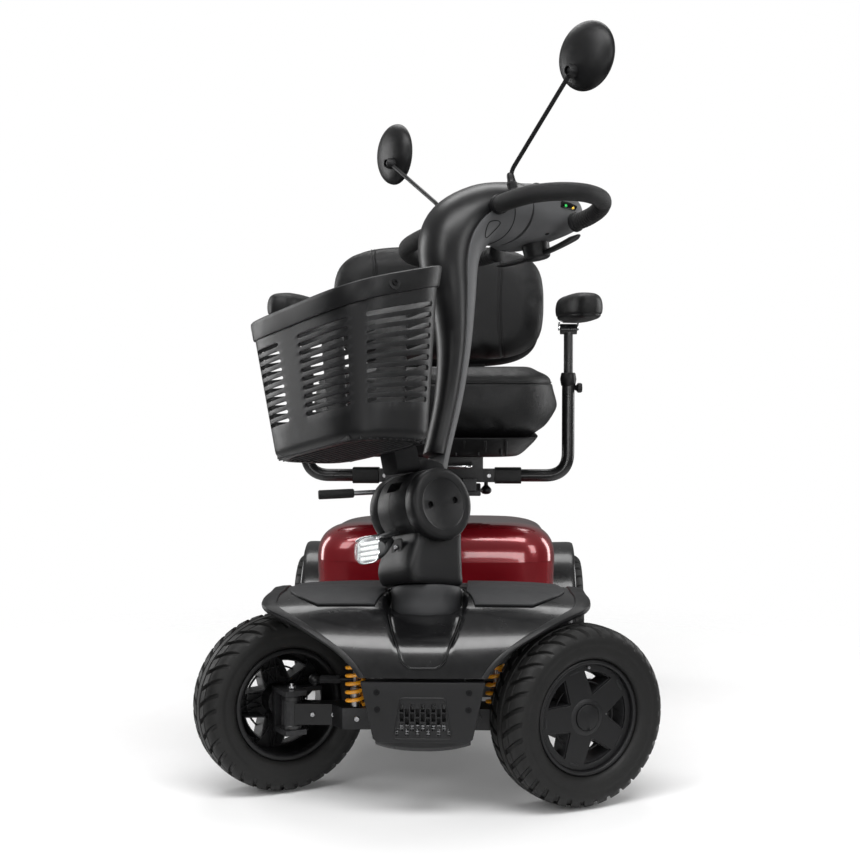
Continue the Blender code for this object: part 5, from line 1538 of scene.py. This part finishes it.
def back_ring(y, a, b):
    """A backrest section: flat below, arched above, its lower corners cut away."""
    ring = []
    for p in oval((0.0, y, BACK_MID), X, Z, a, b, 130, 4.2):
        s = abs(p.x) / a
        if p.z < BACK_MID:
            p.z += 0.014 * max((s - 0.55) / 0.45, 0.0) ** 2 * (BACK_MID - p.z) / b
        else:
            p.z -= 0.012 * s ** 3
        ring.append(p)
    return ring


def seam_x(z):
    """Where the upright seams of the backrest run, to each side."""
    return 0.15 + 0.012 * ((z - BACK_MID) / 0.15) ** 2


def upright_seam(p):
    """Distance to the two upright seams on the front of the backrest."""
    return abs(p.x) - seam_x(p.z) if p.y < 0.87 else 1.0


def rear_seam(p):
    """Distance to the seam where the front cover meets the back one."""
    return p.y - 0.88


back = puffed([back_ring(*row) for row in flow(BACK, 3)], 0.005, 0.009)
back = creased(back, (upright_seam, rear_seam), 0.0032, 0.0034)
for vertex in back.vertices:
    vertex.co.y = min(vertex.co.y, 0.8948)
rest_top = add_piece("backrest_vinyl", back, VINYL, BACKREST, "backrest_cushion", True, 80.0)
bpy.context.view_layer.update()
for side_name, side in SIDES:
    for offset in (-0.004, 0.004):
        line = [Vector((side * seam_x(z) + offset, 0.835, z)) for z in spread(0.845, 1.108, 80)]
        found = on_surface(rest_top, line, [Y] * len(line))
        stitches = [tube([found[i][0] + found[i][1] * 0.0005,
                          found[i + 1][0] + found[i + 1][1] * 0.0005], 0.0006, 6)
                    for i in range(0, len(found) - 1, 2)]
        tag = "inner" if offset * side < 0 else "outer"
        add_piece(f"back_stitch_{side_name}_{tag}", merged(*stitches), THREAD, (Matrix(), "backrest"),
                  "backrest_cushion")
ring = back_ring(0.88, 0.262, 0.144)
inward = [(Vector((0.0, 0.88, BACK_MID)) - p).normalized() for p in ring]
piping("back_piping", rest_top, ring, inward, 0.002, "backrest", "backrest_cushion")

# ---------------------------------------------------------------- armrests
ARM_X = 0.314
BAR_Y = 0.75


def pad_seam(p):
    """Distance to the seam round an armrest pad."""
    return p.z - 0.937


for side_name, side in SIDES:
    carrier = (SHIFT, f"armrest_{side_name}")
    riser = (SHIFT, f"armrest_riser_{side_name}")
    rest = (SHIFT, f"pad_{side_name}")
    post_at = (side * ARM_X, BAR_Y, 0.0)
    path = rounded([(side * 0.08, BAR_Y, 0.56), (side * ARM_X, BAR_Y, 0.56),
                    (side * ARM_X, BAR_Y, 0.805)], 0.055, 16)
    bent = cut(tube(path, 0.015, 32), pin(0.0113, 0.675, 0.82, post_at, Z, 24))
    add_piece(f"arm_tube_{side_name}", bent, TUBE, carrier, f"armrest_tube_{side_name}", True)
    clamp = turned(flow([(0.0115, 0.806), (0.016, 0.806), (0.0174, 0.803), (0.0174, 0.778),
                         (0.0162, 0.775), (0.0151, 0.775)], 2), post_at, Z, 32)
    knob = turned([(0.0, 0.034), (0.01, 0.033), (0.0118, 0.029), (0.0118, 0.023), (0.007, 0.019),
                   (0.0045, 0.013), (0.0045, 0.0)], (side * ARM_X, BAR_Y, 0.77), X * side, 24)
    add_piece(f"arm_collar_{side_name}", clamp, SATIN, carrier, f"armrest_tube_{side_name}")
    add_piece(f"arm_knob_{side_name}", knob, SATIN, carrier, f"armrest_tube_{side_name}")
    post = turned([(0.0, 0.74), (0.0105, 0.74), (0.011, 0.7405), (0.011, 0.905), (0.0, 0.905)],
                  post_at, Z, 28)
    pins = [pin(0.0026, -0.012, 0.012, (side * ARM_X, BAR_Y, z), X, 12) for z in (0.83, 0.85, 0.87)]
    head = turned([(0.0, -0.02), (0.0115, -0.02), (0.0125, -0.019), (0.0125, 0.019), (0.0115, 0.02),
                   (0.0, 0.02)], (side * ARM_X, BAR_Y, 0.91), X, 32)
    add_piece(f"arm_post_{side_name}", merged(cut(post, *pins), head), TUBE, riser,
              f"armrest_post_{side_name}", True)
    toe = Matrix.Rotation(side * math.radians(6.0), 3, "Z")
    rings = []
    for z, a, b in flow(((0.9265, 0.03, 0.122), (0.9295, 0.038, 0.133), (0.94, 0.0435, 0.138),
                         (0.96, 0.0445, 0.14), (0.976, 0.04, 0.136), (0.984, 0.03, 0.124)), 3):
        ring = oval((0.0, 0.0, z), X, Y, a, b, 70, 2.8)
        rings.append([toe @ p + Vector((side * 0.33, BAR_Y - 0.115, 0.0)) for p in ring])
    pad = puffed(rings, 0.004, 0.004, 3.0)
    pad = creased(pad, (pad_seam,), 0.0016, 0.0016)
    cover = add_piece(f"arm_pad_{side_name}", pad, VINYL, rest, f"armrest_pad_{side_name}", True, 80.0)
    bracket = outline_of([(-0.016, -0.03), (0.016, -0.03), (0.016, 0.03), (-0.016, 0.03)], 0.008, 4)
    fitted = slab(bracket, 0.0025, 0.0006, Matrix.Translation((side * 0.316, BAR_Y - 0.02, 0.9262)))
    ears = [block((side * 0.314 + x - 0.0015, BAR_Y - 0.014, 0.907),
                  (side * 0.314 + x + 0.0015, BAR_Y + 0.012, 0.9268), 0.0005)
            for x in (-0.0225, 0.0225)]
    add_piece(f"pad_bracket_{side_name}", merged(fitted, *ears), CHROME, rest,
              f"armrest_pad_{side_name}")
